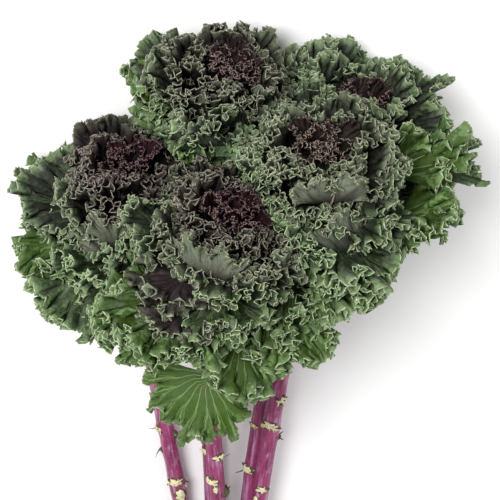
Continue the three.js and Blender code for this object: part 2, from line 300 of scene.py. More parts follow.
@dataclass
class Head:
    """One head of kale: where it stands, where its stem was cut, and how its leaves grow.

    Attributes:
        name: The first part of its pieces' names.
        centre: Where its heart is.
        axis: The way it faces.
        cut: Where its stem ends.
        rank: Its place in the pile, from the lowest up.
        leaves: How many whole places its leaves' spiral has.
        size: How large its leaves are.
        spin: The angle of its first leaf.
        seed: Where its unevenness comes from.
        drift: How far its stem strays sideways and up at its cut end.
        placed: Its leaves placed one by one.
        walls: What its leaves lean on.
    """

    name: str
    centre: np.ndarray
    axis: np.ndarray
    cut: np.ndarray
    rank: int
    leaves: int
    size: float
    spin: float
    seed: int
    drift: tuple[float, float]
    placed: tuple[Placed, ...]
    walls: list[Wall] = field(default_factory=list)

    def __post_init__(self) -> None:
        """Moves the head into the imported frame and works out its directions."""
        self.centre = np.array(self.centre, float) + ORIGIN_SHIFT
        self.axis = unit(np.array(self.axis, float))
        self.cut = np.array(self.cut, float) + ORIGIN_SHIFT
        self.foot = self.centre - self.axis * STALK_LENGTH
        self.middle = self.centre - self.axis * MIDDLE_OF_HEAD * STALK_LENGTH
        self.level, self.upward = across(self.axis)
        span = self.foot - self.cut
        reach = STEM_EASE * np.linalg.norm(span)
        along = unit(np.array([self.drift[0], DRIFT_RUN, self.drift[1]]))
        droop = min(reach, (self.foot[2] - STEM_RADIUS - BEND_CLEARANCE) / self.axis[2])
        self.steering = (
            self.cut,
            self.cut + along * reach,
            self.foot - self.axis * droop,
            self.foot - self.axis * FOOT_GAP,
        )

    def stem_point(self, t: float) -> np.ndarray:
        """Finds a point of the stem.

        Args:
            t: The share of its curve there, or more than one inside the head.

        Returns:
            The point.
        """
        a, b, c, d = self.steering
        if t > 1:
            return d + self.axis * (t - 1) * STALK_RUN
        s = 1 - t
        return s**3 * a + 3 * s * s * t * b + 3 * s * t * t * c + t**3 * d

    def stem_direction(self, t: float) -> np.ndarray:
        """Finds the way that the stem runs.

        Args:
            t: The share of its curve there, or more than one inside the head.

        Returns:
            The direction.
        """
        a, b, c, d = self.steering
        if t > 1:
            return self.axis
        s = 1 - t
        return unit(s * s * (b - a) + 2 * s * t * (c - b) + t * t * (d - c))

    def wall_between(self, other: "Head") -> Wall:
        """Works out the wall that stands between this head and another.

        Args:
            other: The other head.

        Returns:
            The wall.
        """
        axis = unit(self.axis + other.axis)
        inward = self.middle - other.middle
        inward = unit(inward - axis * WALL_TURN * (inward @ axis))
        inward[2] += np.sign(self.rank - other.rank) * WALL_TILT
        share = 0.5 + (self.rank - other.rank) * WALL_SHIFT
        return Wall(self.middle + (other.middle - self.middle) * share, unit(inward))

    def wall_at_stem(self, other: "Head") -> Wall:
        """Works out the wall just clear of another head's stem.

        Args:
            other: The other head.

        Returns:
            The wall.
        """
        start = other.stem_point(STEM_WALL_START)
        direction = unit(other.foot - start)
        offset = self.foot - start
        offset = unit(offset - direction * (offset @ direction))
        if self.rank > other.rank:
            offset[2] += STEM_TILT
        inward = unit(offset - direction * (offset @ direction))
        return Wall(start + inward * STEM_CLEARANCE, inward)

    def meet(self, heads: list["Head"]) -> None:
        """Raises this head's walls against the other heads, their stems and the floor.

        Args:
            heads: All the heads of the bunch.
        """
        others = [head for head in heads if head is not self]
        self.walls = [self.wall_at_stem(other) for other in others]
        self.walls += [self.wall_between(other) for other in others]
        self.walls.append(Wall(np.array([0, 0, -FLOOR_PRESS]), np.array([0.0, 0, 1])))

    def lean_on_walls(self, points: np.ndarray) -> np.ndarray:
        """Bends points back from every wall of this head.

        Args:
            points: The points, three numbers each.

        Returns:
            The bent points.
        """
        for softness in WALL_SOFTNESS:
            for wall in self.walls:
                points = wall.bend(points, softness)
        return points

    def open_round_heart(self, points: np.ndarray) -> np.ndarray:
        """Pushes points out of the room that the heart takes.

        Args:
            points: The points, three numbers each.

        Returns:
            The pushed points.
        """
        offset = points - self.centre
        height = offset @ self.axis
        radial = offset - height[..., None] * self.axis
        distance = np.maximum(np.linalg.norm(radial, axis=-1), 1e-3)
        rise = smoothstep(height, HEART_BASE - HEART_APPROACH, HEART_BASE + HEART_CLEARANCE)
        kept = np.sqrt(distance**2 + ((HEART_RADIUS + HEART_CLEARANCE) * rise) ** 2)
        return points + radial * ((kept - distance) / distance)[..., None]


def grow_heads() -> list[Head]:
    """Returns the five heads, each with the walls that its leaves lean on."""
    heads = [
        Head(
            name="front", centre=(-9, 155, 105), axis=(0.12, 0.91, 0.4), cut=(-24.6, -247, 16.2),
            rank=4, leaves=14, size=1.08, spin=0.15, seed=303, drift=(30, 20),
            placed=(
                Placed(86, -80, 80, 97, 162, calm=True),
                Placed(112, -72, 66, 70, 128),
                Placed(150, -70, 60, 60, 104),
                funnel(77, -52, 74, 74, -21),
                funnel(132, -56, 80, 70, -8),
                funnel(60, -60, 66, 62, 84, spread=70, calm=False),
                funnel(44, -50, 60, 54, 84, spread=70, calm=False),
            ),
        ),
        Head(
            name="left", centre=(-69, 167, 62), axis=(0.0, 0.94, 0.33), cut=(-31.2, -243, 5.4),
            rank=2, leaves=12, size=1.05, spin=4.84, seed=219, drift=(-34, 8),
            placed=(
                Placed(22, -62, 72, 50, 104),
                Placed(48, -74, 70, 60, 116),
                Placed(112, -66, 70, 44, 100),
                funnel(86, -53, 72, 100, -27),
            ),
        ),
        Head(
            name="right", centre=(38, 192, 102), axis=(0.08, 0.9, 0.43), cut=(-12.2, -241, 16.2),
            rank=3, leaves=11, size=1.08, spin=1.02, seed=279, drift=(35, 20),
            placed=(
                Placed(200, -62, 98, 52, 58, 44, waves=4),
                Placed(171, -80, 92, 50, 60, 40, waves=4),
                Placed(60, -76, 82, 46, 112),
                Placed(110, -70, 78, 44, 104),
                funnel(100, -24, 56, 95, -20),
                funnel(124, -68, 86, 100, -40),
            ),
        ),
        Head(
            name="back_left", centre=(-11, 221, 53), axis=(0.12, 0.93, 0.36), cut=(-18.1, -249, 5.4),
            rank=1, leaves=10, size=1.03, spin=2.36, seed=359, drift=(-33, 8),
            placed=(
                Placed(350, -44, 62, 50, 100),
                Placed(96, -66, 78, 44, 104),
            ),
        ),
        Head(
            name="back_right", centre=(60, 197, 48), axis=(0.3, 0.89, 0.34), cut=(-6.2, -250, 5.4),
            rank=0, leaves=9, size=1.36, spin=1.49, seed=254, drift=(-14, 8),
            placed=(Placed(176, -64, 84, 40, 70),),
        ),
    ]
    for head in heads:
        head.meet(heads)
    return heads


# ---------- one leaf ----------


@dataclass(frozen=True)
class Frill:
    """One order of waves in a leaf's rim.

    Attributes:
        wavelength: The length of one wave along the rim.
        height: How far the rim swings to either side.
        overhang: How far a wave's flanks fold back under its crests.
        start: The share of the way out to the rim where the waves begin.
    """

    wavelength: float
    height: float
    overhang: float
    start: float

    def scaled(self, scale: float) -> "Frill":
        """Returns the same waves at another scale."""
        return Frill(self.wavelength * scale, self.height * scale, self.overhang * scale, self.start)


@dataclass
class Leaf:
    """A fan-shaped leaf on a stalk, wrapped round its head and bent outwards along its midrib.

    Attributes:
        growth: How it grows.
        age: Its place among the leaves of its head, from 0 for the oldest to 1 for the youngest.
        turn: The side of the stalk that it grows on.
        attach: Where it leaves the stalk, from the head's centre.
        length: Its length with its own stalk.
        stalk: The length of its stalk.
        spread: Half the angle of its fan.
        lean: Its angle to the stalk where it starts.
        tip_lean: Its angle to the stalk at its tip.
        ruffle: The height of its large ruffles.
        waves: How many of those it has.
        frills: The finer waves of its rim, the longest first.
        seed: Where its unevenness comes from.
        twist: How far one side of it is lifted, for each millimetre of its half width.
        detail: The share of the full number of columns that it gets.
    """

    growth: Growth
    age: float
    turn: float
    attach: float
    length: float
    stalk: float
    spread: float
    lean: float
    tip_lean: float
    ruffle: float
    waves: int
    frills: tuple[Frill, ...]
    seed: int
    twist: float = 0.0
    detail: float = 1.0

    @property
    def fan(self) -> float:
        """The length of the blade beyond its stalk."""
        return self.length - self.stalk

    def midrib(self, y: np.ndarray) -> tuple[np.ndarray, np.ndarray, np.ndarray]:
        """Follows the midrib, an arc.

        Args:
            y: Lengths along it.

        Returns:
            Its distance from the stalk, its height on the stalk, and its lean there.
        """
        bend = (self.tip_lean - self.lean) / self.length
        lean = self.lean + bend * y
        radius = LEAF_ROOT_RADIUS + (math.cos(self.lean) - np.cos(lean)) / bend
        height = self.attach + (np.sin(lean) - math.sin(self.lean)) / bend
        return radius, height, lean

    def place(self, head: Head, x: np.ndarray, y: np.ndarray, lift: np.ndarray) -> np.ndarray:
        """Places points of the flat leaf in space.

        Args:
            head: The head that the leaf grows on.
            x: Distances across the leaf.
            y: Distances along it.
            lift: Distances off its middle surface, towards the head's axis.

        Returns:
            The points.
        """
        lift = lift + self.twist * x
        radius, height, lean = self.midrib(y)
        half_way = self.midrib(np.array(self.stalk + 0.5 * self.fan))[0]
        curve = max(LEAST_CUP, CUP * float(half_way))
        roll = x / curve
        outward = radius - curve * (1 - np.cos(roll)) - lift * np.cos(lean) * np.cos(roll)
        sideways = curve * np.sin(roll) - lift * np.cos(lean) * np.sin(roll)
        rise = height + lift * np.sin(lean)
        out = head.level * math.cos(self.turn) + head.upward * math.sin(self.turn)
        side = np.cross(head.axis, out)
        return (
            head.centre
            + rise[..., None] * head.axis
            + outward[..., None] * out
            + sideways[..., None] * side
        )

    def fan_radius(self, angle: np.ndarray) -> np.ndarray:
        """Returns the length of the fan at an angle from the midrib."""
        return self.fan * (1 - SIDE_SHORTENING * np.abs(angle / self.spread) ** 3)

    def columns(self) -> int:
        """Returns how many columns the rim has, a multiple of the widest stride."""
        rim = 2 * self.spread * self.fan * RIM_STRETCH[self.growth]
        finest = min(frill.wavelength for frill in self.frills)
        wanted = COLUMNS_PER_WAVE * self.detail * rim / finest
        widest = ROW_STRIDES[0]
        strides = np.clip(round(wanted / widest), FEWEST_COLUMNS // widest, MOST_COLUMNS // widest)
        return int(strides) * widest

    def settle(self, head: Head, points: np.ndarray) -> np.ndarray:
        """Keeps points clear of the heart, the neighbours and the floor.

        Args:
            head: The head that the leaf grows on.
            points: The points.

        Returns:
            The points as they settle, or as they are in the heart itself.
        """
        if self.growth is Growth.HEART:
            return points
        return head.lean_on_walls(head.open_round_heart(points))

    def surface(self, head: Head) -> tuple[np.ndarray, np.ndarray, np.ndarray]:
        """Works out the leaf's middle surface with all its waves.

        Args:
            head: The head that the leaf grows on.

        Returns:
            The points by row and column, the angles of the columns, and each point's way in
            from the rim in millimetres.
        """
        draws = Draws(self.seed)
        share = np.array(ROWS)[:, None]
        t = np.linspace(0, 1, self.columns() + 1)[None, :]
        angle = self.spread * (2 * t - 1)
        rim = 2 * self.spread * self.fan
        lobes = LOBE_DEPTH * draws.ripple(t, self.waves * LOBES_PER_RUFFLE)
        lobes = lobes + NOTCH_DEPTH * draws.ripple(t, rim / NOTCH_WIDTH)
        bites = np.abs(np.sin(math.pi * (rim / TOOTH_WIDTH * t + draws.ripple(t, 9)))) - 0.5
        deep = 0.7 + 0.5 * draws.ripple(t, rim / TOOTH_PATCH)
        teeth = TOOTH_DEPTH * bites * deep * share**9
        radius = self.fan_radius(angle) * (1 + lobes * share**2) + teeth
        reach = radius * share
        swing = math.pi * 2 * self.waves * t + 0.5 * draws.ripple(t, 2)
        lift = -self.ruffle * np.cos(swing) * share**RUFFLE_RISE
        lean_over = angle - RUFFLE_FOLD * self.ruffle / self.fan * np.sin(2 * swing) * share**6
        x, y = reach * np.sin(lean_over), self.stalk + reach * np.cos(lean_over)
        points = self.settle(head, self.place(head, x, y, lift))
        for frill in self.frills:
            points = self.frilled(points, share, t, frill, draws)
        above = (points[..., 2] - FLOOR_GAP) / FLOOR_SOFTNESS
        points[..., 2] = FLOOR_GAP + FLOOR_SOFTNESS * np.logaddexp(0, above)
        return points, angle[0], radius * (1 - share)

    def frilled(
        self, points: np.ndarray, share: np.ndarray, t: np.ndarray, frill: Frill, draws: Draws
    ) -> np.ndarray:
        """Adds one order of waves along the surface's own normals.

        Args:
            points: The surface, by row and column.
            share: The rows' ways out to the rim.
            t: The columns' places along the rim, from 0 to 1.
            frill: The waves to add.
            draws: Where their unevenness comes from.

        Returns:
            The waved surface.
        """
        along = unit(np.gradient(points, axis=1))
        outward = unit(np.gradient(points, axis=0))
        normal = unit(np.cross(along, outward))
        stretch = np.linalg.norm(np.gradient(points[-1], axis=0), axis=-1)
        walked = np.concatenate([[0], np.cumsum((stretch[1:] + stretch[:-1]) / 2)])
        count = max(2, round(walked[-1] / frill.wavelength))
        uneven = FRILL_SPACING * draws.ripple(t, count / 3.5)
        phase = 2 * math.pi * count * (walked / walked[-1])[None, :] + uneven
        phase = phase + FRILL_SLANT * draws.ripple(t, count / 2) * (1 - share)
        size = FRILL_SIZE + FRILL_VARIETY * draws.ripple(t, count / 2.5)
        size = np.clip(size, FRILL_LEAST, FRILL_MOST)
        rise = smoothstep(share, frill.start, 1.02) ** 1.2
        swing = frill.height * size * rise * np.sin(phase)
        fold = frill.overhang * size * rise**2 * np.sin(2 * phase)
        return points + swing[..., None] * normal - fold[..., None] * along


OLD_FRILLS = (Frill(17.0, 4.4, 2.6, 0.34), Frill(9.6, 3.1, 2.0, 0.5), Frill(4.8, 1.1, 0.85, 0.76))
YOUNG_SCALE = 0.72  # of the frills of the youngest leaf of a rosette
CALM_FRILLS = (Frill(17.0, 2.6, 1.2, 0.5), Frill(8.6, 2.0, 1.1, 0.74), Frill(4.4, 1.1, 0.6, 0.86))
HEART_FRILLS = (Frill(5.2, 1.8, 1.1, 0.5), Frill(2.6, 0.9, 0.55, 0.7))


def frills_at(age: float) -> tuple[Frill, ...]:
    """Returns the orders of waves of a rosette's leaf of this age."""
    scale = mix(1, YOUNG_SCALE, age)
    return tuple(frill.scaled(scale) for frill in OLD_FRILLS)


Pair = tuple[float, float]


@dataclass
class Rosette:
    """The green leaves of one head, which stand for its packed leaves.

    The first pairs of sizes are those of the oldest and of the youngest leaf of the spiral, the
    angles in degrees. The pairs named uneven are the least and the most that chance gives.
    """

    head: Head
    length: Pair = (80, 38)
    attach: Pair = (5 - STALK_LENGTH, -28)
    stalk_share: Pair = (0.45, 0.2)
    spread: Pair = (92, 56)
    lean: Pair = (60, 12)
    tip_lean: Pair = (114, 34)
    ruffle: Pair = (8, 5)
    uneven_length: Pair = (0.88, 1.1)
    uneven_turn: Pair = (-0.18, 0.18)
    uneven_lean: Pair = (0.88, 1.12)
    uneven_twist: Pair = (-0.3, 0.3)
    outer_leaves: int = 4  # the lowest leaves, with more ruffles
    between_length: float = 0.95  # of a leaf that fills in between two whole places
    hidden_before: float = 0.42  # the age of the leaves that can lie out of sight under the head
    hidden_detail: float = 0.5  # of the columns, for a leaf that does
    placed_stalk: float = 0.48  # the share of its length, for a leaf placed one by one
    calm_ruffle: float = 4.5
    funnel_age: float = 0.62

    def grown(self, index: float, draws: Draws) -> Leaf:
        """Grows a leaf of the spiral.

        Args:
            index: Its place, which may lie between two whole ones.
            draws: Where its unevenness comes from.

        Returns:
            The leaf.
        """
        head = self.head
        age = index / (head.leaves - 1)
        length = head.size * mix(*self.length, age**1.6) * draws.next(*self.uneven_length)
        between = math.pi if index % 1 else 0
        if between:
            length *= self.between_length
        turn = head.spin + index * GOLDEN_ANGLE + between + draws.next(*self.uneven_turn)
        hidden = age < self.hidden_before and math.sin(turn) < -0.1
        lean = mix(*self.lean, age**0.8)
        tip_lean = mix(*self.tip_lean, age**0.75)
        return Leaf(
            growth=Growth.ROSETTE,
            age=age,
            turn=turn,
            attach=mix(*self.attach, age),
            length=length,
            stalk=length * mix(*self.stalk_share, age),
            spread=math.radians(mix(*self.spread, age)),
            lean=math.radians(lean) * draws.next(*self.uneven_lean),
            tip_lean=math.radians(tip_lean) * draws.next(*self.uneven_lean),
            twist=draws.next(*self.uneven_twist),
            ruffle=mix(*self.ruffle, age),
            waves=5 if index < self.outer_leaves else 3,
            frills=frills_at(age),
            seed=head.seed * 1000 + round(index * 10),
            detail=self.hidden_detail if hidden else 1.0,
        )

    def ruffle_of(self, place: Placed) -> float:
        """Works out the height of the large ruffles of a leaf placed one by one.

        Args:
            place: Where the leaf grows and how large it is.

        Returns:
            The height.
        """
        if place.calm:
            return self.calm_ruffle
        return self.ruffle[1] if place.growth is Growth.FUNNEL else self.ruffle[0]

    def placed(self, index: int, place: Placed) -> Leaf:
        """Grows a leaf placed one by one.

        Args:
            index: Its number among those of its head.
            place: Where it grows and how large it is.

        Returns:
            The leaf.
        """
        return Leaf(
            growth=place.growth,
            age=self.funnel_age if place.growth is Growth.FUNNEL else 0.0,
            turn=math.radians(place.turn),
            attach=place.attach,
            length=place.length,
            stalk=place.length * self.placed_stalk,
            spread=math.radians(place.spread),
            lean=math.radians(place.lean),
            tip_lean=math.radians(place.tip_lean),
            ruffle=self.ruffle_of(place),
            waves=place.waves,
            frills=CALM_FRILLS if place.calm else frills_at(0),
            seed=self.head.seed * 1000 + 500 + index,
        )

    def leaves(self) -> list[Leaf]:
        """Returns every leaf of the rosette, oldest first."""
        draws = Draws(self.head.seed)
        extra = Draws(self.head.seed + 1000)
        whole = [self.grown(index, draws) for index in range(self.head.leaves)]
        between = [self.grown(index + 0.5, extra) for index in range(self.head.leaves - 1)]
        placed = [self.placed(index, place) for index, place in enumerate(self.head.placed)]
        return sorted(whole + between + placed, key=lambda leaf: leaf.age)


@dataclass
class Heart:
    """The dark heart of one head, of small upright leaves.

    The first pairs of sizes are those of the oldest and of the youngest leaf, the angles in
    degrees. The pairs named uneven are the least and the most that chance gives.
    """

    head: Head
    count: int = 10
    length: Pair = (25, 9)
    rise: Pair = (-2, 4)
    spread: Pair = (58, 46)
    lean: Pair = (30, 4)
    tip_lean: Pair = (60, 12)
    ruffle: Pair = (3.2, 1.6)
    uneven_length: Pair = (0.72, 1.15)
    uneven_lean: Pair = (0.6, 1.3)
    uneven_tip_lean: Pair = (0.6, 1.35)
    stalk_share: float = 0.12

    def leaves(self) -> list[Leaf]:
        """Returns the heart's leaves, oldest first."""
        draws = Draws(self.head.seed + 77)
        grown = []
        for index in range(self.count):
            age = index / (self.count - 1)
            length = mix(*self.length, age) * draws.next(*self.uneven_length)
            leaf = Leaf(
                growth=Growth.HEART,
                age=age,
                turn=self.head.spin + index * GOLDEN_ANGLE,
                attach=HEART_BASE + mix(*self.rise, age),
                length=length,
                stalk=length * self.stalk_share,
                spread=math.radians(mix(*self.spread, age)),
                lean=math.radians(mix(*self.lean, age)) * draws.next(*self.uneven_lean),
                tip_lean=math.radians(mix(*self.tip_lean, age)) * draws.next(*self.uneven_tip_lean),
                ruffle=mix(*self.ruffle, age),
                waves=2,
                frills=HEART_FRILLS,
                seed=self.head.seed * 1000 + 700 + index,
            )
            grown.append(leaf)
        return grown


# ---------- meshes ----------


def select_only(*pieces: bpy.types.Object) -> None:
    """Selects these objects alone, and makes the first of them active."""
    bpy.ops.object.select_all(action="DESELECT")
    for piece in pieces:
        piece.select_set(True)
    bpy.context.view_layer.objects.active = pieces[0]


def new_object(name: str, data: bpy.types.ID) -> bpy.types.Object:
    """Puts a new object in the scene.

    Args:
        name: Its name.
        data: Its mesh, light or camera.

    Returns:
        The object.
    """
    made = bpy.data.objects.new(name, data)
    bpy.context.scene.collection.objects.link(made)
    return made


def primitive(add: Callable, **sizes: object) -> bpy.types.Object:
    """Adds a primitive with nothing else selected.

    Args:
        add: The operator that adds it.
        sizes: Its sizes and place.

    Returns:
        The primitive.
    """
    bpy.ops.object.select_all(action="DESELECT")
    add(**sizes)
    return bpy.context.active_object


def read_points(mesh: bpy.types.Mesh) -> np.ndarray:
    """Reads a mesh's points.

    Args:
        mesh: The mesh.

    Returns:
        The points, three numbers each, in the mesh's own unit.
    """
    points = np.empty(len(mesh.vertices) * 3)
    mesh.vertices.foreach_get("co", points)
    return points.reshape(-1, 3)


def move_points(mesh: bpy.types.Mesh, points: np.ndarray) -> None:
    """Moves a mesh's points to places given in millimetres."""
    mesh.vertices.foreach_set("co", (points * MM).ravel())


def lay_pattern(mesh: bpy.types.Mesh, pattern: np.ndarray) -> None:
    """Gives a mesh its pattern coordinates.

    Args:
        mesh: The mesh.
        pattern: Two numbers for each of its points.
    """
    corner = np.empty(len(mesh.loops), np.int64)
    mesh.loops.foreach_get("vertex_index", corner)
    layer = mesh.uv_layers[0] if mesh.uv_layers else mesh.uv_layers.new(name=PATTERN)
    layer.name = PATTERN
    layer.uv.foreach_set("vector", pattern[corner].ravel())


def paint(piece: bpy.types.Object, slot: int) -> None:
    """Gives every face of a piece the material in one of its slots."""
    polygons = piece.data.polygons
    polygons.foreach_set("material_index", [slot] * len(polygons))


# ---------- leaves as meshes ----------


@lru_cache(maxsize=None)
def fan_faces(columns: int) -> tuple[tuple[int, ...], ...]:
    """Joins the rows of a fan, where a row further in has fewer columns.

    Args:
        columns: How many columns the rim has.

    Returns:
        The faces, by the places of their corners in the list that fan_corners gives.
    """
    starts = np.concatenate([[0, 1], 1 + np.cumsum([columns // s + 1 for s in ROW_STRIDES[1:]])])
    faces = []
    for row in range(1, len(ROWS)):
        stride = ROW_STRIDES[row]
        for column in range(0, columns, stride):
            near = starts[row] + column // stride
            if row == 1:
                faces.append((0, near + 1, near))
                continue
            inner = ROW_STRIDES[row - 1]
            if inner == stride:
                far = starts[row - 1] + column // stride
                faces.append((far, far + 1, near + 1, near))
            elif column % inner == 0:
                far = starts[row - 1] + column // inner
                faces.append((far, near + 1, near))
                faces.append((far, far + 1, near + 1))
                faces.append((far + 1, near + 2, near + 1))
    return tuple(faces)


def fan_corners(grid: np.ndarray) -> np.ndarray:
    """Picks the corners that fan_faces joins.

    Args:
        grid: Values by row and column, with every column in every row.

    Returns:
        The values at those corners.
    """
    rows = [grid[0, :1]]
    rows += [grid[row, ::stride] for row, stride in enumerate(ROW_STRIDES) if row > 0]
    return np.concatenate(rows)


INSET_SCALE = 10.0  # the way in from the rim, in millimetres, that the growth colours and the painted shade reach
FRESH = (0.95, -0.3)  # how fresh the green of the oldest and of the youngest leaf is
UNEVEN_FRESH = (-0.3, 0.3)


@dataclass
class Foliage:
    """Gathers many surfaces into one mesh with their pattern coordinates and growth colours."""

    points: list[np.ndarray] = field(default_factory=list)
    faces: list[tuple[int, ...]] = field(default_factory=list)
    pattern: list[np.ndarray] = field(default_factory=list)
    growth: list[np.ndarray] = field(default_factory=list)
    total: int = 0

    def add(self, points: np.ndarray, faces: list, pattern: np.ndarray, growth: np.ndarray) -> None:
        """Adds one more surface.

        Args:
            points: Its points.
            faces: Its faces, by the places of their corners among those.
            pattern: The pattern coordinates of each point.
            growth: The growth colours of each point.
        """
        self.points.append(points)
        self.faces += [tuple(corner + self.total for corner in face) for face in faces]
        self.pattern.append(pattern)
        self.growth.append(growth)
        self.total += len(points)

    def add_leaf(self, head: Head, leaf: Leaf, purple: float) -> None:
        """Adds a leaf's blade.

        Args:
            head: The head that it grows on.
            leaf: The leaf.
            purple: How purple it is, from 0 to 1. The rest is green, the fresher the older.
        """
        points, angles, inset = leaf.surface(head)
        share = np.broadcast_to(np.array(ROWS)[:, None], inset.shape)
        turn = np.broadcast_to(angles[None, :] / (2 * math.pi) + 0.5, inset.shape)
        shade = np.clip(purple * (0.9 + 1.2 * (1 - share)), 0, 1)
        fresh = mix(*FRESH, leaf.age) + Draws(leaf.seed + 5).next(*UNEVEN_FRESH)
        tint = np.full(inset.shape, min(max(fresh, 0.0), 1.0))
        pattern = np.stack([turn, share], axis=-1)
        open_leaf = np.full_like(tint, 0.0 if leaf.growth is Growth.FUNNEL else 1.0)
        growth = np.stack([np.clip(inset / INSET_SCALE, 0, 1), shade, tint, open_leaf], axis=-1)
        faces = fan_faces(points.shape[1] - 1)
        self.add(fan_corners(points), faces, fan_corners(pattern), fan_corners(growth))

    def build(self, name: str, materials: list[bpy.types.Material]) -> bpy.types.Object:
        """Makes the mesh object.

        Args:
            name: The piece's name.
            materials: Its materials, in the order of their slots.

        Returns:
            The new object, selected and active.
        """
        mesh = bpy.data.meshes.new(name)
        mesh.from_pydata((np.concatenate(self.points) * MM).tolist(), [], self.faces)
        lay_pattern(mesh, np.concatenate(self.pattern))
        growth = mesh.attributes.new(GROWTH, "FLOAT_COLOR", "POINT")
        growth.data.foreach_set("color", np.concatenate(self.growth).ravel())
        for material in materials:
            mesh.materials.append(material)
        piece = new_object(name, mesh)
        select_only(piece)
        bpy.ops.object.shade_smooth()
        return piece


def give_thickness(piece: bpy.types.Object, thickness: float) -> None:
    """Turns a sheet into a closed shell whose inner face takes the next material.

    Args:
        piece: The sheet, with its outer face's material in its first slot.
        thickness: The shell's thickness in millimetres.
    """
    select_only(piece)
    shell = piece.modifiers.new("Shell", "SOLIDIFY")
    shell.thickness = thickness * MM
    shell.offset = -1
    shell.material_offset = 1
    shell.material_offset_rim = 0
    bpy.ops.object.modifier_apply(modifier=shell.name)


@dataclass
class Midrib:
    """The rib and stalk of a leaf: a tapering tube along the leaf's middle, just under it."""

    head: Head
    leaf: Leaf
    sides: int = 7
    rings: int = 15
    root: float = -2.0  # where it starts on the leaf
    reach: float = 0.62  # how far into the fan it shows
    young_scale: float = 0.6  # of its radius, on the youngest leaf
    depth: float = -0.55  # of its middle under the leaf, as a share of its radius
    flatness: float = 0.8

    def tube(self) -> tuple[np.ndarray, list[tuple[int, ...]], np.ndarray]:
        """Works out the tube.

        Returns:
            Its points, its faces, and each point's way along it from 0 to 1.
        """
        leaf = self.leaf
        t = np.linspace(0, 1, self.rings)
        along = self.root + t * (leaf.stalk + self.reach * leaf.fan - self.root)
        radius = mix(*RIB_RADII[leaf.growth], t**0.8) * mix(1, self.young_scale, leaf.age)
        beneath = self.depth * radius * smoothstep(along, 0, leaf.stalk * 0.8 + 1)
        middle = np.zeros_like(along)
        line = leaf.settle(self.head, leaf.place(self.head, middle, along, beneath))
        line[:, 2] = np.maximum(line[:, 2], radius + FLOOR_GAP)
        forward = unit(np.gradient(line, axis=0))
        out = self.head.level * math.cos(leaf.turn) + self.head.upward * math.sin(leaf.turn)
        side = np.cross(self.head.axis, out)
        side = unit(side - forward * (forward @ side)[:, None])
        over = np.cross(forward, side)
        turn = circle(self.sides)
        ring = np.cos(turn)[None, :, None] * side[:, None]
        ring = ring + self.flatness * np.sin(turn)[None, :, None] * over[:, None]
        points = (line[:, None] + radius[:, None, None] * ring).reshape(-1, 3)
        return points, tube_faces(self.rings, self.sides), np.repeat(t, self.sides)


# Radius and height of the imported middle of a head, from its foot up to the heart.
CORE_PROFILE = ((4, -82), (6, -68), (14, -52), (23, -38), (25, -27), (14, -16), (4, -10))
CORE_PATTERN = (0.2, 0.3)
CORE_GROWTH = (1.0, 0.7, 0.0, 1.0)  # the dull colour of leaves that get no light


@dataclass
class Core:
    """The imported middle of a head, which its leaves stand out of."""

    head: Head
    sides: int = 20

    def surface(self) -> tuple[np.ndarray, list[tuple[int, ...]]]:
        """Works out the core, turned round the head's axis.

        Returns:
            Its points and its faces.
        """
        head = self.head
        turn = circle(self.sides)
        out = np.cos(turn)[:, None] * head.level + np.sin(turn)[:, None] * head.upward
        rings = [head.centre + head.axis * height + out * radius for radius, height in CORE_PROFILE]
        points = head.lean_on_walls(np.concatenate(rings))
        points[:, 2] = np.maximum(points[:, 2], FLOOR_GAP)
        return points, tube_faces(len(rings), self.sides, turned=True)

    def build(self, materials: list[bpy.types.Material]) -> bpy.types.Object:
        """Makes the core.

        Args:
            materials: The materials of the leaves.

        Returns:
            The core.
        """
        points, faces = self.surface()
        foliage = Foliage()
        pattern = np.tile(CORE_PATTERN, (len(points), 1))
        growth = np.tile(CORE_GROWTH, (len(points), 1))
        foliage.add(points, faces, pattern, growth)
        return foliage.build(self.head.name + "_core", materials)


# How purple the youngest leaves of each rosette are, and the leaves of each heart.
PURPLE_SHARE = {"front": 0.92, "left": 1.0, "right": 0.58, "back_left": 0.8, "back_right": 0.26}
HEART_PURPLE = {"front": 0.95, "left": 1.0, "right": 0.3, "back_left": 0.65, "back_right": 0.6}
FUNNEL_PURPLE = 0.6
PURPLE_AGES = (0.22, 0.85)  # where a rosette's leaves start to turn purple and where they have
OLD_HEART_PURPLE = 0.85  # of a heart's oldest leaf, as a share of its youngest one's


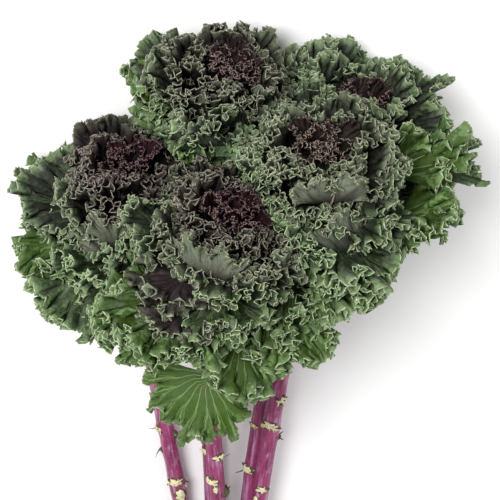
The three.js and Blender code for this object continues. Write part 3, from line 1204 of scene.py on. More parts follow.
@dataclass
class LeafyPiece:
    """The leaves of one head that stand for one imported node.

    Attributes:
        head: The head.
        leaves: The leaves, oldest first.
        slot: The slot of the piece, and the last part of the node's name.
        materials: Those of the leaves' under side, their upper side and their ribs.
    """

    head: Head
    leaves: list[Leaf]
    slot: str
    materials: list[bpy.types.Material]

    @property
    def node(self) -> str:
        """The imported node's name."""
        return f"{self.head.name}_{self.slot}"

    def purple_of(self, leaf: Leaf) -> float:
        """Works out how purple a leaf is: old leaves are green, the heart is burgundy.

        Args:
            leaf: The leaf.

        Returns:
            A share from 0 to 1.
        """
        if leaf.growth is Growth.HEART:
            return mix(OLD_HEART_PURPLE, 1.0, leaf.age) * HEART_PURPLE[self.head.name]
        if leaf.growth is Growth.FUNNEL:
            return FUNNEL_PURPLE
        return float(smoothstep(leaf.age, *PURPLE_AGES)) * PURPLE_SHARE[self.head.name]

    def build(self) -> bpy.types.Object:
        """Makes the piece, closes its blades into shells, and hides the node it stands for."""
        blades, ribs = Foliage(), Foliage()
        for leaf in self.leaves:
            purple = self.purple_of(leaf)
            blades.add_leaf(self.head, leaf, purple)
            points, faces, along = Midrib(self.head, leaf).tube()
            pattern = np.stack([np.full_like(along, 0.5), along * 0.3], axis=-1)
            shade = np.clip(purple + 0.9 - along, 0, 1)
            growth = np.stack([np.ones_like(along), shade, along, np.ones_like(along)], axis=-1)
            ribs.add(points, faces, pattern, growth)
        piece = blades.build(self.node + "_frills", self.materials)
        give_thickness(piece, LEAF_THICKNESS)
        rib_piece = ribs.build(self.node + "_ribs", self.materials)
        paint(rib_piece, len(self.materials) - 1)
        parts = [piece, rib_piece]
        if self.slot == "leaves":
            parts.append(Core(self.head).build(self.materials))
        select_only(*parts)
        bpy.ops.object.join()
        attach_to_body(piece, "root")
        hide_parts(self.node)
        return piece


# ---------- stems ----------


class Torn(Enum):
    """What is left where a leaf was broken off."""

    PAD = "a smooth oval scar"
    STUB = "a torn stub with ragged skin"
    CURL = "a torn stub with a dried curl"
    FRIZZ = "a wide stub with many short shreds"
    STRIP = "a strip of skin that hangs off"
    KNOB = "a dried knob"


SCAR_SIZES = {  # half the length along the stem and across it, and the height, in millimetres
    Torn.PAD: (5.2, 3.2, 0.9),
    Torn.STUB: (2.9, 4.8, 2.0),
    Torn.CURL: (2.7, 4.4, 2.2),
    Torn.FRIZZ: (2.4, 5.6, 1.4),
    Torn.STRIP: (1.6, 1.6, 1.2),
    Torn.KNOB: (3.4, 3.2, 2.8),
}
SHREDS = {  # how many fresh ones there are, and how many dried ones
    Torn.PAD: (0, 0),
    Torn.STUB: (9, 0),
    Torn.CURL: (8, 2),
    Torn.FRIZZ: (22, 0),
    Torn.STRIP: (0, 1),
    Torn.KNOB: (3, 2),
}
# The least and the most length and width of a shred, by whether it is dried, and of a strip.
SHRED_LENGTH = {False: (2.0, 4.0), True: (5, 8)}
SHRED_WIDTH = {False: (0.6, 1.1), True: (0.7, 1.3)}
STRIP_LENGTH, STRIP_WIDTH = 10.0, 1.5
SCAR_FLOOR = 0.1  # the lowest that a scar may come
COLLAR_LENGTH, COLLAR_WIDTH, COLLAR_HEIGHT = 0.9, 0.8, 0.45  # added to its pad, and a share of it


@dataclass(frozen=True)
class Scar:
    """A leaf scar: its share of the way along the stem, degrees round it, size and kind."""

    along: float
    turn: float
    size: float
    kind: Torn


@dataclass
class Stem:
    """One stem: a ridged rod along its head's curve, with its cut end and leaf scars."""

    head: Head
    scars: list[Scar]
    skin: bpy.types.Material
    flesh: bpy.types.Material
    dried: bpy.types.Material
    sides: int = 32
    rings: int = 80
    ridges: int = 7
    ridge_height: float = 0.3
    taper: Pair = (1.02, 0.97)
    swelling: float = 0.7  # under a scar of size one
    swelling_length: float = 5.0
    unevenness: Pair = (0.12, 0.05)  # all round, and from side to side
    cut_rim: float = 0.12  # of skin round the cut end, as a share of the radius
    smooth_angle: float = math.radians(50)
    length: float = field(init=False)

    def __post_init__(self) -> None:
        """Measures the stem's curve."""
        points = np.array([self.head.stem_point(t) for t in np.linspace(0, 1, 200)])
        self.length = float(np.linalg.norm(np.diff(points, axis=0), axis=1).sum())

    def girth(self, t: np.ndarray, angle: np.ndarray) -> np.ndarray:
        """Works out the stem's radius.

        Args:
            t: Shares of the way along.
            angle: Angles round the stem.

        Returns:
            The radii in millimetres.
        """
        draws = Draws(self.head.seed + 9)
        twist = 0.5 * draws.ripple(t, 1.5)
        ridge = np.abs(np.cos(0.5 * self.ridges * angle + twist)) - 0.6
        swell = np.zeros_like(t)
        for scar in self.scars:
            past = (t - scar.along) * self.length
            facing = 0.5 + 0.5 * np.cos(angle - math.radians(scar.turn))
            swell += np.exp(-((past / self.swelling_length) ** 2)) * facing * self.swelling * scar.size
        drift = self.unevenness[0] * draws.ripple(t, 9)
        drift = drift + self.unevenness[1] * draws.ripple(t + angle / 7, 14)
        return STEM_RADIUS * mix(*self.taper, t) + self.ridge_height * ridge + swell + drift

    def rod(self) -> bpy.types.Object:
        """Extrudes a straight rod ring by ring, one unit high for each."""
        rod = primitive(
            bpy.ops.mesh.primitive_circle_add, vertices=self.sides, radius=1.0, fill_type="NGON"
        )
        rod.name = self.head.name + "_stem_skin"
        bpy.ops.object.mode_set(mode="EDIT")
        bpy.ops.mesh.select_all(action="SELECT")
        for _ in range(self.rings):
            bpy.ops.mesh.extrude_region_move(TRANSFORM_OT_translate={"value": (0, 0, 1)})
        bpy.ops.mesh.inset(thickness=self.cut_rim, depth=0)
        bpy.ops.mesh.select_all(action="SELECT")
        bpy.ops.mesh.normals_make_consistent(inside=False)
        bpy.ops.object.mode_set(mode="OBJECT")
        return rod

    def bend(self, rod: bpy.types.Object) -> None:
        """Moves each ring of the straight rod to its place, and gives it its ridges.

        Args:
            rod: The rod.
        """
        straight = read_points(rod.data)
        t = straight[:, 2] / self.rings * (1 + STALK_SHARE)
        angle = np.arctan2(straight[:, 1], straight[:, 0])
        radius = self.girth(t, angle) * np.hypot(straight[:, 0], straight[:, 1])
        ring = np.rint(straight[:, 2]).astype(int)
        steps = np.linspace(0, 1 + STALK_SHARE, self.rings + 1)
        centres = np.array([self.head.stem_point(step) for step in steps])[ring]
        ways = [across(self.head.stem_direction(step)) for step in steps]
        level, upward = (np.array(way)[ring] for way in zip(*ways))
        out = np.cos(angle)[:, None] * level + np.sin(angle)[:, None] * upward
        points = centres + radius[:, None] * out
        points[:, 2] = np.maximum(points[:, 2], 0)
        move_points(rod.data, points)
        lay_pattern(rod.data, np.stack([angle / (2 * math.pi) + 0.5, t], axis=-1))
        rod.data.update()

    def outward(self, scar: Scar) -> tuple[np.ndarray, ...]:
        """Works out where a scar sits.

        Args:
            scar: The scar.

        Returns:
            Its point on the skin, and the ways out, forward and across there.
        """
        forward = self.head.stem_direction(scar.along)
        level, upward = across(forward)
        angle = math.radians(scar.turn)
        out = level * math.cos(angle) + upward * math.sin(angle)
        radius = float(self.girth(np.array([scar.along]), np.array([angle]))[0])
        return self.head.stem_point(scar.along) + out * radius, out, forward, np.cross(forward, out)

    def settle(self, part: bpy.types.Object, points: np.ndarray, dark: bool) -> bpy.types.Object:
        """Puts a part of a scar in its place, just over the floor, and gives it its material.

        Args:
            part: The part.
            points: Where its points go.
            dark: Whether it is dried skin.

        Returns:
            The part.
        """
        points[:, 2] = np.maximum(points[:, 2], SCAR_FLOOR)
        move_points(part.data, points)
        part.data.materials.append(self.flesh)
        part.data.materials.append(self.dried)
        paint(part, 1 if dark else 0)
        return part

    def lump(self, scar: Scar, draws: Draws, collar: bool) -> bpy.types.Object:
        """Makes an uneven oval pressed on the stem: the pale pad of a scar, or its dark collar.

        Args:
            scar: The scar.
            draws: Where its uneven outline comes from.
            collar: Whether it is the collar.

        Returns:
            The oval.
        """
        pad = primitive(bpy.ops.mesh.primitive_uv_sphere_add, segments=22, ring_count=12, radius=1)
        place, out, forward, side = self.outward(scar)
        ball = read_points(pad.data)
        bearing = (np.arctan2(ball[:, 1], ball[:, 0]) / (2 * math.pi)) % 1
        ragged = 1 + (0.1 if scar.kind is Torn.PAD else 0.3) * draws.ripple(bearing, 5)
        ragged = np.where(np.abs(ball[:, 2]) > 0.98, 1, ragged)
        length, width, height = SCAR_SIZES[scar.kind]
        if collar:
            length, width, height = length + COLLAR_LENGTH, width + COLLAR_WIDTH, height * COLLAR_HEIGHT
        wrap = (ball[:, 1] * width * scar.size) ** 2 / (2.2 * STEM_RADIUS)
        points = (
            place
            + (ball[:, 0] * ragged * length * scar.size)[:, None] * forward
            + (ball[:, 1] * ragged * width * scar.size)[:, None] * side
            + (ball[:, 2] * height * scar.size - wrap)[:, None] * out
        )
        return self.settle(pad, points, collar or scar.kind in (Torn.KNOB, Torn.STRIP))

    def shred(self, scar: Scar, draws: Draws, dried: bool) -> bpy.types.Object:
        """Makes one torn strip of skin that stands off a scar and curls.

        Args:
            scar: The scar it belongs to.
            draws: Where its place and curl come from.
            dried: Whether it is a long dark curl.

        Returns:
            The strip.
        """
        strip = primitive(
            bpy.ops.mesh.primitive_cone_add,
            vertices=6, radius1=1, radius2=0.25, depth=1, location=(0, 0, 0.5),
        )
        bpy.ops.object.transform_apply(location=True)
        bpy.ops.object.mode_set(mode="EDIT")
        for height in (0.25, 0.5, 0.75):
            bpy.ops.mesh.select_all(action="SELECT")
            bpy.ops.mesh.bisect(plane_co=(0, 0, height), plane_no=(0, 0, 1))
        bpy.ops.object.mode_set(mode="OBJECT")
        place, out, forward, side = self.outward(scar)
        swing = draws.next(-1, 1)
        start = place + side * swing * 3.4 * scar.size
        start = start + forward * draws.next(-1.4, 1.4) * scar.size - out * 0.6
        heading = out * draws.next(0.5, 1) + side * swing * 1.2 + forward * draws.next(-0.8, 0.8)
        heading = unit(heading)
        curl = forward * draws.next(-1, 1) + out * draws.next(-0.5, 0.6)
        length = draws.next(*SHRED_LENGTH[dried])
        width = draws.next(*SHRED_WIDTH[dried])
        if scar.kind is Torn.STRIP:
            length, width = STRIP_LENGTH, STRIP_WIDTH
            heading, curl = unit(out - 0.5 * forward), -0.9 * forward - 0.3 * out
        cone = read_points(strip.data)
        flat = unit(np.cross(heading, curl + 0.01))
        thin = np.cross(heading, flat)
        points = (
            start
            + (cone[:, 2] * length * scar.size)[:, None] * heading
            + (cone[:, 2] ** 2 * length * 0.6 * scar.size)[:, None] * curl
            + (cone[:, 0] * width)[:, None] * flat
            + (cone[:, 1] * width * 0.4)[:, None] * thin
        )
        return self.settle(strip, points, dried)

    def scarred(self) -> bpy.types.Object:
        """Makes every scar of the stem as one piece."""
        draws = Draws(self.head.seed + 31)
        parts = []
        for scar in self.scars:
            parts += [self.lump(scar, draws, collar) for collar in (False, True)]
            fresh, dried = SHREDS[scar.kind]
            parts += [self.shred(scar, draws, dried=False) for _ in range(fresh)]
            parts += [self.shred(scar, draws, dried=True) for _ in range(dried)]
        select_only(*parts)
        bpy.ops.object.join()
        scars = bpy.context.active_object
        scars.name = self.head.name + "_leaf_scars"
        bpy.ops.object.shade_smooth()
        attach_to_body(scars, "root")
        return scars

    def build(self) -> list[bpy.types.Object]:
        """Makes the stem and its scars."""
        rod = self.rod()
        self.bend(rod)
        rod.data.materials.append(self.skin)
        rod.data.materials.append(self.flesh)
        for polygon in rod.data.polygons:
            if len(polygon.vertices) > 4:
                polygon.material_index = 1
        select_only(rod)
        bpy.ops.object.shade_smooth_by_angle(angle=self.smooth_angle)
        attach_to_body(rod, "root")
        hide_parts(self.head.name + "_stem")
        return [rod, self.scarred()]


SEEN_SCARS = {
    "front": (
        Scar(0.603, 125, 0.85, Torn.CURL),
        Scar(0.535, 55, 0.95, Torn.STUB),
        Scar(0.512, 85, 0.55, Torn.PAD),
        Scar(0.495, 165, 0.9, Torn.KNOB),
        Scar(0.40, 70, 0.9, Torn.CURL),
    ),
    "left": (
        Scar(0.556, 25, 0.8, Torn.CURL),
        Scar(0.535, 160, 0.7, Torn.KNOB),
        Scar(0.50, 5, 0.8, Torn.STRIP),
        Scar(0.43, 85, 1.0, Torn.STUB),
        Scar(0.398, 105, 1.05, Torn.PAD),
        Scar(0.415, 172, 0.5, Torn.CURL),
    ),
    "right": (
        Scar(0.71, 60, 0.7, Torn.STUB),
        Scar(0.648, 125, 0.85, Torn.CURL),
        Scar(0.584, 70, 1.0, Torn.FRIZZ),
        Scar(0.552, 165, 0.5, Torn.KNOB),
        Scar(0.43, 95, 0.8, Torn.CURL),
        Scar(0.405, 60, 0.5, Torn.PAD),
    ),
    "back_left": (Scar(0.40, 60, 0.8, Torn.STUB),),
    "back_right": (
        Scar(0.52, 60, 0.7, Torn.STUB),
        Scar(0.462, 45, 0.6, Torn.FRIZZ),
        Scar(0.384, 50, 1.0, Torn.CURL),
    ),
}
LOWER_STEM = (0.03, 0.34)  # the part of each stem that has the scars below those
LOWER_SCARS = (Torn.PAD, Torn.STUB, Torn.PAD, Torn.CURL)


def scars_of(head: Head) -> list[Scar]:
    """Lists a stem's scars: the upper ones given one by one, the lower ones by the leaves' spiral.

    Args:
        head: The stem's head.

    Returns:
        The scars.
    """
    draws = Draws(head.seed + 3)
    scars = list(SEEN_SCARS[head.name])
    for index, kind in enumerate(LOWER_SCARS):
        along = mix(*LOWER_STEM, (index + draws.next(0.2, 0.8)) / len(LOWER_SCARS))
        turn = math.degrees(head.spin + index * GOLDEN_ANGLE) % 360
        scars.append(Scar(along, turn, draws.next(0.7, 1.0), kind))
    return scars


# ---------- finishes ----------


Socket = bpy.types.NodeSocket
Source = bpy.types.NodeSocket | float | tuple[float, ...]


@dataclass
class Wiring:
    """Adds nodes to a node tree and joins them."""

    tree: bpy.types.NodeTree

    def feed(self, socket: Socket, value: Source) -> None:
        """Links a socket to another one, or sets its value.

        Args:
            socket: The socket.
            value: The other one, or the value.
        """
        if isinstance(value, bpy.types.NodeSocket):
            self.tree.links.new(value, socket)
        else:
            socket.default_value = value

    def add(self, kind: str, values: dict | None = None, **settings: object) -> bpy.types.Node:
        """Adds a node.

        Args:
            kind: Its type.
            values: What goes into its inputs, by name or number.
            settings: Its own properties.

        Returns:
            The node.
        """
        node = self.tree.nodes.new(kind)
        for name, value in settings.items():
            setattr(node, name, value)
        for key, value in (values or {}).items():
            self.feed(node.inputs[key], value)
        return node

    def math(self, operation: str, a: Source, b: Source = 0.0) -> Socket:
        """Returns the result of a sum on two values."""
        return self.add("ShaderNodeMath", {0: a, 1: b}, operation=operation).outputs[0]

    def times(self, a: Source, b: Source) -> Socket:
        """Returns the product of two values."""
        return self.math("MULTIPLY", a, b)

    def apart(self, a: Source, b: Source) -> Socket:
        """Returns how far two values are apart."""
        return self.math("ABSOLUTE", self.math("SUBTRACT", a, b))

    def blend(self, share: Source, a: Source, b: Source) -> Socket:
        """Mixes two colours.

        Args:
            share: How much of the second one there is.
            a: The first one.
            b: The second one.

        Returns:
            The mixed colour.
        """
        node = self.add("ShaderNodeMix", {0: share}, data_type="RGBA")
        self.feed(node.inputs[6], a)
        self.feed(node.inputs[7], b)
        return node.outputs[2]

    def rise(self, value: Source, low: Source, high: Source, to: Pair = (0.0, 1.0)) -> Socket:
        """Returns a smooth step between two values of its input."""
        values = {0: value, 1: low, 2: high, 3: to[0], 4: to[1]}
        return self.add("ShaderNodeMapRange", values, interpolation_type="SMOOTHSTEP").outputs[0]

    def noise(self, place: Socket, scale: Source, detail: float, blur: float = 0.5) -> Socket:
        """Returns an uneven value of about 0.3 to 0.7."""
        values = {"Vector": place, "Scale": scale, "Detail": detail, "Roughness": blur}
        return self.add("ShaderNodeTexNoise", values).outputs["Fac"]

    def stretched(self, place: Socket, scale: tuple[float, ...]) -> Socket:
        """Returns coordinates scaled along their axes."""
        return self.add("ShaderNodeMapping", {"Vector": place, "Scale": scale}).outputs[0]

    def mask(self, effect: bpy.types.NodeTree, **values: Source) -> Socket:
        """Returns the mask that a shared effect gives."""
        return self.add("ShaderNodeGroup", values, node_tree=effect).outputs["Mask"]

    def place(self) -> Socket:
        """Returns the place on the object, in metres."""
        return self.add("ShaderNodeTexCoord").outputs["Object"]

    def pattern(self) -> Socket:
        """Returns the piece's own pattern coordinates."""
        return self.add("ShaderNodeUVMap", uv_map=PATTERN).outputs[0]

    def bump(self, height: Source, strength: float, distance: float) -> Socket:
        """Returns the normals of a surface with small bumps, up to a distance in metres."""
        values = {"Height": height, "Strength": strength, "Distance": distance}
        return self.add("ShaderNodeBump", values).outputs[0]


NUMBER, ARROW = "NodeSocketFloat", "NodeSocketVector"


def new_effect(name: str, **inputs: str) -> tuple[Wiring, dict[str, Socket], Socket]:
    """Starts the node group of an effect, which puts out a mask.

    Args:
        name: Its name.
        inputs: Its input sockets' names and types.

    Returns:
        Its wiring, what its inputs bring in by name, and the socket that its mask goes to.
    """
    group = bpy.data.node_groups.new(name, "ShaderNodeTree")
    for socket, kind in inputs.items():
        group.interface.new_socket(socket, in_out="INPUT", socket_type=kind)
    group.interface.new_socket("Mask", in_out="OUTPUT", socket_type=NUMBER)
    wiring = Wiring(group)
    source = wiring.add("NodeGroupInput").outputs
    sink = wiring.add("NodeGroupOutput").inputs["Mask"]
    return wiring, {socket: source[socket] for socket in inputs}, sink


@dataclass(frozen=True)
class Effects:
    """The effects that several finishes share."""

    veins: bpy.types.NodeTree
    rim: bpy.types.NodeTree
    mottle: bpy.types.NodeTree


def vein_group() -> bpy.types.NodeTree:
    """Makes the pattern of veins that fan out from a leaf's base and fork twice."""
    wiring, source, sink = new_effect(
        "Forked Veins", Pattern=ARROW, Place=ARROW, Count=NUMBER, Width=NUMBER
    )
    turn, share = wiring.add("ShaderNodeSeparateXYZ", {0: source["Pattern"]}).outputs[:2]
    wander = wiring.times(wiring.noise(source["Place"], 80.0, 3.0), 0.9)
    cell = wiring.math("ADD", wiring.times(turn, source["Count"]), wander)
    offset = wiring.apart(wiring.math("FRACT", cell), 0.5)
    width = wiring.math("DIVIDE", source["Width"], wiring.math("MAXIMUM", share, 0.12))
    to_fork = wiring.apart(offset, wiring.rise(share, 0.3, 1.05, (0.0, 0.3)))
    to_twig = wiring.apart(to_fork, wiring.rise(share, 0.6, 1.1, (0.0, 0.13)))
    main_vein = wiring.rise(offset, 0.0, width, (1.0, 0.0))
    fork = wiring.rise(to_fork, 0.0, wiring.times(width, 0.7), (0.75, 0.0))
    twig = wiring.rise(to_twig, 0.0, wiring.times(width, 0.55), (0.5, 0.0))
    wiring.feed(sink, wiring.math("MAXIMUM", main_vein, wiring.math("MAXIMUM", fork, twig)))
    return wiring.tree


def rim_group() -> bpy.types.NodeTree:
    """Makes the pale line that follows a leaf's rim and is uneven in width."""
    wiring, source, sink = new_effect("Pale Rim", Inset=NUMBER, Place=ARROW, Width=NUMBER)
    uneven = wiring.rise(wiring.noise(source["Place"], 260.0, 1.0), 0.3, 0.7, (0.55, 1.5))
    width = wiring.times(source["Width"], uneven)
    line = wiring.rise(source["Inset"], 0.0, width, (1.0, 0.0))
    beads = wiring.rise(wiring.noise(source["Place"], 620.0, 1.0), 0.36, 0.6, (0.2, 1.0))
    wiring.feed(sink, wiring.times(line, beads))
    return wiring.tree


def mottle_group() -> bpy.types.NodeTree:
    """Makes soft patches of two sizes, as of wax rubbed off a leaf."""
    wiring, source, sink = new_effect("Waxy Mottle", Place=ARROW, Scale=NUMBER)
    broad = wiring.noise(source["Place"], source["Scale"], 3.0, 0.6)
    fine = wiring.noise(source["Place"], wiring.times(source["Scale"], 7.0), 3.0, 0.6)
    both = wiring.math("ADD", wiring.times(broad, 0.65), wiring.times(fine, 0.35))
    wiring.feed(sink, wiring.rise(both, 0.36, 0.64))
    return wiring.tree


def new_material(name: str) -> tuple[bpy.types.Material, Wiring, bpy.types.Node]:
    """Starts a material.

    Args:
        name: Its name.

    Returns:
        The material, its wiring, and its Principled shader.
    """
    material = bpy.data.materials.new(name)
    material.use_nodes = True
    return material, Wiring(material.node_tree), material.node_tree.nodes["Principled BSDF"]


Colour = tuple[float, float, float, float]
PAINTED_SHADE_IN_LEAVES = linear(26, 23, 24)  # painted shade: the inner parts of young and middle leaves darken to this, for the shade deep among the leaves


@dataclass(frozen=True)
class LeafFinish:
    """The finish of one face of the leaves, from green old ones to purple young ones, with painted
    shade away from the rim of young and middle ones.

    Attributes:
        name: Its name.
        green: The leaf where its wax is rubbed off.
        bright: The same on a fresh old leaf.
        bloom: The leaf under its wax.
        purple: A young leaf where its wax is rubbed off.
        purple_bloom: A young leaf under its wax.
        edge: A soft band along the rim.
        purple_edge: The same on a young leaf.
        rim: The thin line on the rim.
        purple_rim: The same on a young leaf.
        vein: The veins.
        purple_vein: The same on a young leaf.
        vein_strength: How much of their colour shows.
        rib: The middle of the leaf near its stalk.
        relief: How far the veins stand out, or lie in where it is below zero.
        funnel: The outer part of a leaf that stands like a funnel.
        rim_width: Of the thin line, as a share of what the growth colours reach.
        bloom_share: How much of the wax shows.
        vein_count: How many veins fan out over a full turn.
        vein_width: Of a vein at the rim, as a share of the way to the next one.
        patch_scale: Of the rubbed patches, for each metre.
        crinkle_scale: Of the fine crinkles, for each metre.
    """

    name: str
    green: Colour
    bright: Colour
    bloom: Colour
    purple: Colour
    purple_bloom: Colour
    edge: Colour
    purple_edge: Colour
    rim: Colour
    purple_rim: Colour
    vein: Colour
    purple_vein: Colour
    vein_strength: float
    rib: Colour
    relief: float
    funnel: Colour
    rim_width: float = 0.055
    bloom_share: float = 0.8
    vein_count: float = 25.0
    vein_width: float = 0.056
    patch_scale: float = 55.0
    crinkle_scale: float = 420.0

    def build(self, effects: Effects) -> bpy.types.Material:
        """Makes the material.

        Args:
            effects: The shared effects.

        Returns:
            The material.
        """
        material, wiring, shader = new_material(self.name)
        place, pattern = wiring.place(), wiring.pattern()
        growth = wiring.add("ShaderNodeAttribute", attribute_name=GROWTH).outputs
        inset, purple, tint = wiring.add("ShaderNodeSeparateColor", {0: growth["Color"]}).outputs
        in_funnel = wiring.math("SUBTRACT", 1.0, growth["Alpha"])
        turn, share = wiring.add("ShaderNodeSeparateXYZ", {0: pattern}).outputs[:2]
        vein = wiring.mask(
            effects.veins, Pattern=pattern, Place=place, Count=self.vein_count, Width=self.vein_width
        )
        patch = wiring.mask(effects.mottle, Place=place, Scale=self.patch_scale)
        rim = wiring.mask(effects.rim, Inset=inset, Place=place, Width=self.rim_width)

        leaf_green = wiring.blend(wiring.rise(tint, 0.2, 1.0), self.green, self.bright)
        unworn = wiring.rise(tint, 0.2, 1.0, (self.bloom_share, 0.12 * self.bloom_share))
        waxy = wiring.times(wiring.math("POWER", patch, 1.3), unworn)
        green = wiring.blend(waxy, leaf_green, self.bloom)
        dark = wiring.blend(waxy, self.purple, self.purple_bloom)
        body = wiring.blend(purple, green, dark)
        flare = wiring.blend(wiring.rise(share, 0.3, 1.0), self.purple_bloom, self.funnel)
        body = wiring.blend(wiring.times(in_funnel, 0.8), body, flare)

        # painted shade: away from the rim, young and middle leaves that are not funnels darken, for the
        # shade deep among the leaves
        depth = wiring.rise(inset, 0.08, 0.7, (0.0, 0.78))
        depth = wiring.times(depth, wiring.rise(tint, 0.3, 0.9, (1.0, 0.0)))
        depth = wiring.times(depth, growth["Alpha"])
        body = wiring.blend(depth, body, PAINTED_SHADE_IN_LEAVES)

        dull = wiring.math("MAXIMUM", purple, in_funnel)
        vein_colour = wiring.blend(dull, self.vein, self.purple_vein)
        # the veins fade where the painted shade lies
        clear = wiring.math("SUBTRACT", 1.0, wiring.times(depth, 0.8))
        shown = wiring.times(wiring.times(vein, self.vein_strength), clear)
        body = wiring.blend(shown, body, vein_colour)
        off_middle = wiring.times(wiring.apart(turn, 0.5), share)
        near_rib = wiring.rise(off_middle, 0.0, 0.004, (0.7, 0.0))
        near_root = wiring.rise(share, 0.05, 0.45, (1.0, 0.0))
        body = wiring.blend(wiring.times(near_rib, near_root), body, self.rib)

        edge = wiring.blend(purple, self.edge, self.purple_edge)
        pale = wiring.rise(inset, 0.0, 0.5, (0.9, 0.0))
        pale = wiring.times(pale, wiring.rise(patch, 0.0, 1.0, (0.35, 1.0)))
        body = wiring.blend(pale, body, edge)
        body = wiring.blend(rim, body, wiring.blend(purple, self.rim, self.purple_rim))
        wiring.feed(shader.inputs["Base Color"], body)
        wiring.feed(shader.inputs["Roughness"], wiring.rise(patch, 0.0, 1.0, (0.46, 0.66)))
        shader.inputs["Specular IOR Level"].default_value = 0.15
        crinkle = wiring.noise(place, self.crinkle_scale, 3.0)
        height = wiring.math("ADD", wiring.times(vein, self.relief), crinkle)
        wiring.feed(shader.inputs["Normal"], wiring.bump(height, 0.6, 0.0011))
        return material


@dataclass(frozen=True)
class RibFinish:
    """The finish of the midribs: magenta at the root, pale green towards the tip."""

    name: str
    root: Colour
    tip: Colour
    streak: Colour

    def build(self) -> bpy.types.Material:
        """Makes the material."""
        material, wiring, shader = new_material(self.name)
        growth = wiring.add("ShaderNodeAttribute", attribute_name=GROWTH).outputs["Color"]
        purple = wiring.add("ShaderNodeSeparateColor", {0: growth}).outputs[1]
        streaks = wiring.rise(wiring.noise(wiring.place(), 300.0, 3.0), 0.4, 0.7)
        body = wiring.blend(purple, self.tip, self.root)
        body = wiring.blend(wiring.times(streaks, 0.4), body, self.streak)
        wiring.feed(shader.inputs["Base Color"], body)
        wiring.feed(shader.inputs["Roughness"], wiring.rise(streaks, 0.0, 1.0, (0.4, 0.55)))
        return material


@dataclass(frozen=True)
class StemFinish:
    """The finish of a stem: magenta skin, darker streaks painted as shade in its furrows, and lilac
    patches that are its wax bloom brightened by a painted sheen.
    """

    name: str
    skin: Colour
    # painted shade: the dark streaks that stand in for shade in the stem's furrows
    deep: Colour
    # the lilac wax bloom of the stem, brightened as a painted sheen
    bloom: Colour
    fleck: Colour

    def build(self) -> bpy.types.Material:
        """Makes the material."""
        material, wiring, shader = new_material(self.name)
        place, pattern = wiring.place(), wiring.pattern()
        lengthwise = wiring.stretched(pattern, (6.0, 5.0, 1.0))
        # painted shade: dark streaks along the stem for the shade in its furrows
        streak = wiring.rise(wiring.noise(lengthwise, 3.0, 3.0), 0.42, 0.66)
        # lilac patches: the stem's wax bloom, partly a painted sheen
        patches = wiring.noise(wiring.stretched(pattern, (4.5, 9.0, 1.0)), 1.8, 3.0, 0.6)
        bloom = wiring.rise(patches, 0.48, 0.7)
        body = wiring.blend(wiring.times(streak, 0.8), self.skin, self.deep)
        body = wiring.blend(wiring.times(bloom, 0.75), body, self.bloom)
        flecks = wiring.rise(wiring.noise(place, 900.0, 1.0), 0.66, 0.74)
        body = wiring.blend(wiring.times(flecks, 0.5), body, self.fleck)
        wiring.feed(shader.inputs["Base Color"], body)
        wiring.feed(shader.inputs["Roughness"], wiring.rise(bloom, 0.0, 1.0, (0.32, 0.55)))
        fibres = wiring.noise(wiring.stretched(pattern, (60.0, 5.0, 1.0)), 4.0, 3.0)
        wiring.feed(shader.inputs["Normal"], wiring.bump(fibres, 0.2, 0.0004))
        return material


@dataclass(frozen=True)
class TornFinish:
    """The finish of a torn place: fibrous flesh, or skin that has dried."""

    name: str
    fresh: Colour
    stained: Colour
    edge: Colour
    scale: float = 260.0

    def build(self) -> bpy.types.Material:
        """Makes the material."""
        material, wiring, shader = new_material(self.name)
        place = wiring.place()
        grain = wiring.noise(place, self.scale, 4.0, 0.65)
        body = wiring.blend(wiring.rise(grain, 0.45, 0.68), self.fresh, self.stained)
        spots = wiring.rise(wiring.noise(place, self.scale * 2.2, 2.0), 0.6, 0.72)
        body = wiring.blend(wiring.times(spots, 0.7), body, self.edge)
        wiring.feed(shader.inputs["Base Color"], body)
        wiring.feed(shader.inputs["Roughness"], wiring.rise(grain, 0.3, 0.7, (0.55, 0.8)))
        wiring.feed(shader.inputs["Normal"], wiring.bump(grain, 0.6, 0.0008))
        return material


UPPER_FACE = LeafFinish(
    name="Leaf upper face",
    green=linear(52, 74, 36),
    bright=linear(62, 86, 28),
    bloom=linear(150, 164, 144),
    purple=linear(34, 24, 27),
    purple_bloom=linear(62, 52, 55),
    edge=linear(122, 144, 100),
    purple_edge=linear(66, 58, 56),
    rim=linear(190, 204, 166),
    purple_rim=linear(156, 140, 136),
    vein=linear(128, 160, 100),
    purple_vein=linear(92, 76, 78),
    vein_strength=0.72,
    rib=linear(128, 74, 84),
    relief=-0.5,
    funnel=linear(50, 42, 42),
    rim_width=0.066,
)
UNDERSIDE = LeafFinish(
    name="Leaf underside",
    green=linear(36, 56, 28),
    bright=linear(42, 76, 18),
    bloom=linear(146, 160, 142),
    purple=linear(22, 14, 16),
    purple_bloom=linear(44, 36, 38),
    edge=linear(118, 140, 98),
    purple_edge=linear(62, 55, 53),
    rim=linear(186, 200, 160),
    purple_rim=linear(152, 136, 132),
    vein=linear(116, 140, 96),
    purple_vein=linear(96, 88, 80),
    vein_strength=0.6,
    rib=linear(128, 66, 84),
    relief=0.9,
    funnel=linear(128, 136, 116),
)
HEART_FACE = LeafFinish(
    name="Heart leaf",
    green=linear(40, 38, 28),
    bright=linear(34, 32, 25),
    bloom=linear(66, 62, 50),
    purple=linear(24, 5, 12),
    # partly the heart's own crimson, partly painted glints in its dark middle
    purple_bloom=linear(68, 12, 34),
    edge=linear(46, 40, 35),
    purple_edge=linear(44, 20, 29),
    rim=linear(160, 146, 132),
    purple_rim=linear(134, 108, 110),
    vein=linear(48, 34, 33),
    purple_vein=linear(48, 26, 32),
    vein_strength=0.4,
    rib=linear(110, 34, 60),
    relief=-1.0,
    funnel=linear(20, 9, 12),
    rim_width=0.025,
)
RIB = RibFinish(
    name="Midrib",
    root=linear(128, 62, 92),
    tip=linear(150, 172, 128),
    streak=linear(178, 186, 160),
)
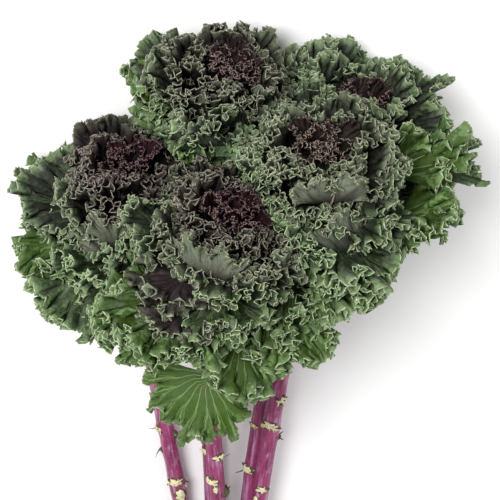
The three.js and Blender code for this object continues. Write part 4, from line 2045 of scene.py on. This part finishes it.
STEM_SKIN = StemFinish(
    name="Stem skin",
    skin=linear(144, 52, 98),
    # painted shade of the stem's furrows
    deep=linear(92, 26, 62),
    # the stem's lilac wax bloom, brightened as a painted sheen
    bloom=linear(188, 138, 176),
    fleck=linear(206, 150, 150),
)
TORN_FLESH = TornFinish(
    name="Torn flesh",
    fresh=linear(222, 214, 176),
    stained=linear(176, 178, 122),
    edge=linear(128, 92, 66),
)
DRIED_SKIN = TornFinish(
    name="Dried skin",
    fresh=linear(78, 76, 52),
    stained=linear(46, 36, 32),
    edge=linear(118, 112, 78),
    scale=400.0,
)


# ---------- the studio ----------


@dataclass
class Studio:
    """A pale floor, soft lights, and a camera that looks down on the bunch."""

    target: tuple = (ORIGIN_SHIFT[0], 110.0 + ORIGIN_SHIFT[1], 55.0)
    distance: float = 708.0
    tilt: float = math.radians(24)
    lens: float = 85.0
    sensor: float = 36.0
    floor_size: float = 6.0
    floor_drop: float = 0.0002
    sky: float = 0.5

    def floor(self) -> bpy.types.Object:
        """Makes the floor, just under what lies on it."""
        floor = primitive(
            bpy.ops.mesh.primitive_plane_add, size=self.floor_size, location=(0, 0, -self.floor_drop)
        )
        floor.name = "floor"
        bpy.ops.object.transform_apply(location=True)
        material, wiring, shader = new_material("Pale floor")
        cloud = wiring.noise(wiring.place(), 6.0, 2.0)
        colour = wiring.blend(cloud, linear(250, 250, 249), linear(246, 246, 246))
        wiring.feed(shader.inputs["Base Color"], colour)
        shader.inputs["Roughness"].default_value = 0.9
        floor.data.materials.append(material)
        return floor

    def light(self, name: str, place: tuple, size: float, power: float) -> bpy.types.Object:
        """Adds a soft round light that faces the bunch.

        Args:
            name: Its name.
            place: Where it hangs, in metres.
            size: Its diameter in metres.
            power: Its power in watts.

        Returns:
            The light.
        """
        data = bpy.data.lights.new(name, "AREA")
        data.shape = "DISK"
        data.size = size
        data.energy = power
        lamp = new_object(name, data)
        aim = Vector(self.target) * MM
        lamp.location = place
        lamp.rotation_euler = (aim - Vector(place)).to_track_quat("-Z", "Y").to_euler()
        return lamp

    def camera(self) -> bpy.types.Object:
        """Adds the camera, with the rosettes at the top of its view."""
        data = bpy.data.cameras.new("camera")
        data.lens = self.lens
        data.sensor_width = self.sensor
        camera = new_object("camera", data)
        back = Vector((0, math.sin(self.tilt), math.cos(self.tilt)))
        up = Vector((0, math.cos(self.tilt), -math.sin(self.tilt)))
        right = up.cross(back)
        turn = Matrix((right, up, back)).transposed()
        place = (Vector(self.target) + back * self.distance) * MM
        camera.matrix_world = Matrix.Translation(place) @ turn.to_4x4()
        bpy.context.scene.camera = camera
        return camera

    def build(self) -> None:
        """Makes everything round the bunch."""
        self.floor()
        self.camera()
        self.light("key", (-0.5, 0.75, 1.3), 0.8, 22)
        self.light("fill", (0.9, -0.1, 1.0), 1.2, 4.5)
        world = bpy.data.worlds.new("studio")
        bpy.context.scene.world = world
        world.use_nodes = True
        sky = world.node_tree.nodes["Background"].inputs
        sky["Color"].default_value = (1, 1, 1, 1)
        sky["Strength"].default_value = self.sky
        bpy.context.scene.view_settings.view_transform = "Standard"


def triangles(piece: bpy.types.Object) -> int:
    """Returns how many triangles a piece has."""
    piece.data.calc_loop_triangles()
    return len(piece.data.loop_triangles)


def main() -> None:
    """Builds the bunch and the studio round it, and reports each piece."""
    logging.basicConfig(level=logging.INFO, format="%(name)s: %(message)s")
    effects = Effects(vein_group(), rim_group(), mottle_group())
    rib = RIB.build()
    leaf_materials = [UNDERSIDE.build(effects), UPPER_FACE.build(effects), rib]
    heart_material = HEART_FACE.build(effects)
    heart_materials = [heart_material, heart_material, rib]
    skin = STEM_SKIN.build()
    flesh, dried = TORN_FLESH.build(), DRIED_SKIN.build()
    total = 0
    for head in grow_heads():
        pieces = Stem(head, scars_of(head), skin, flesh, dried).build()
        pieces.append(LeafyPiece(head, Rosette(head).leaves(), "leaves", leaf_materials).build())
        pieces.append(LeafyPiece(head, Heart(head).leaves(), "heart", heart_materials).build())
        for piece in pieces:
            count = triangles(piece)
            total += count
            LOG.info("%s: %d triangles", piece.name, count)
    LOG.info("%d triangles in all", total)
    Studio().build()


if __name__ == "__main__":
    main()
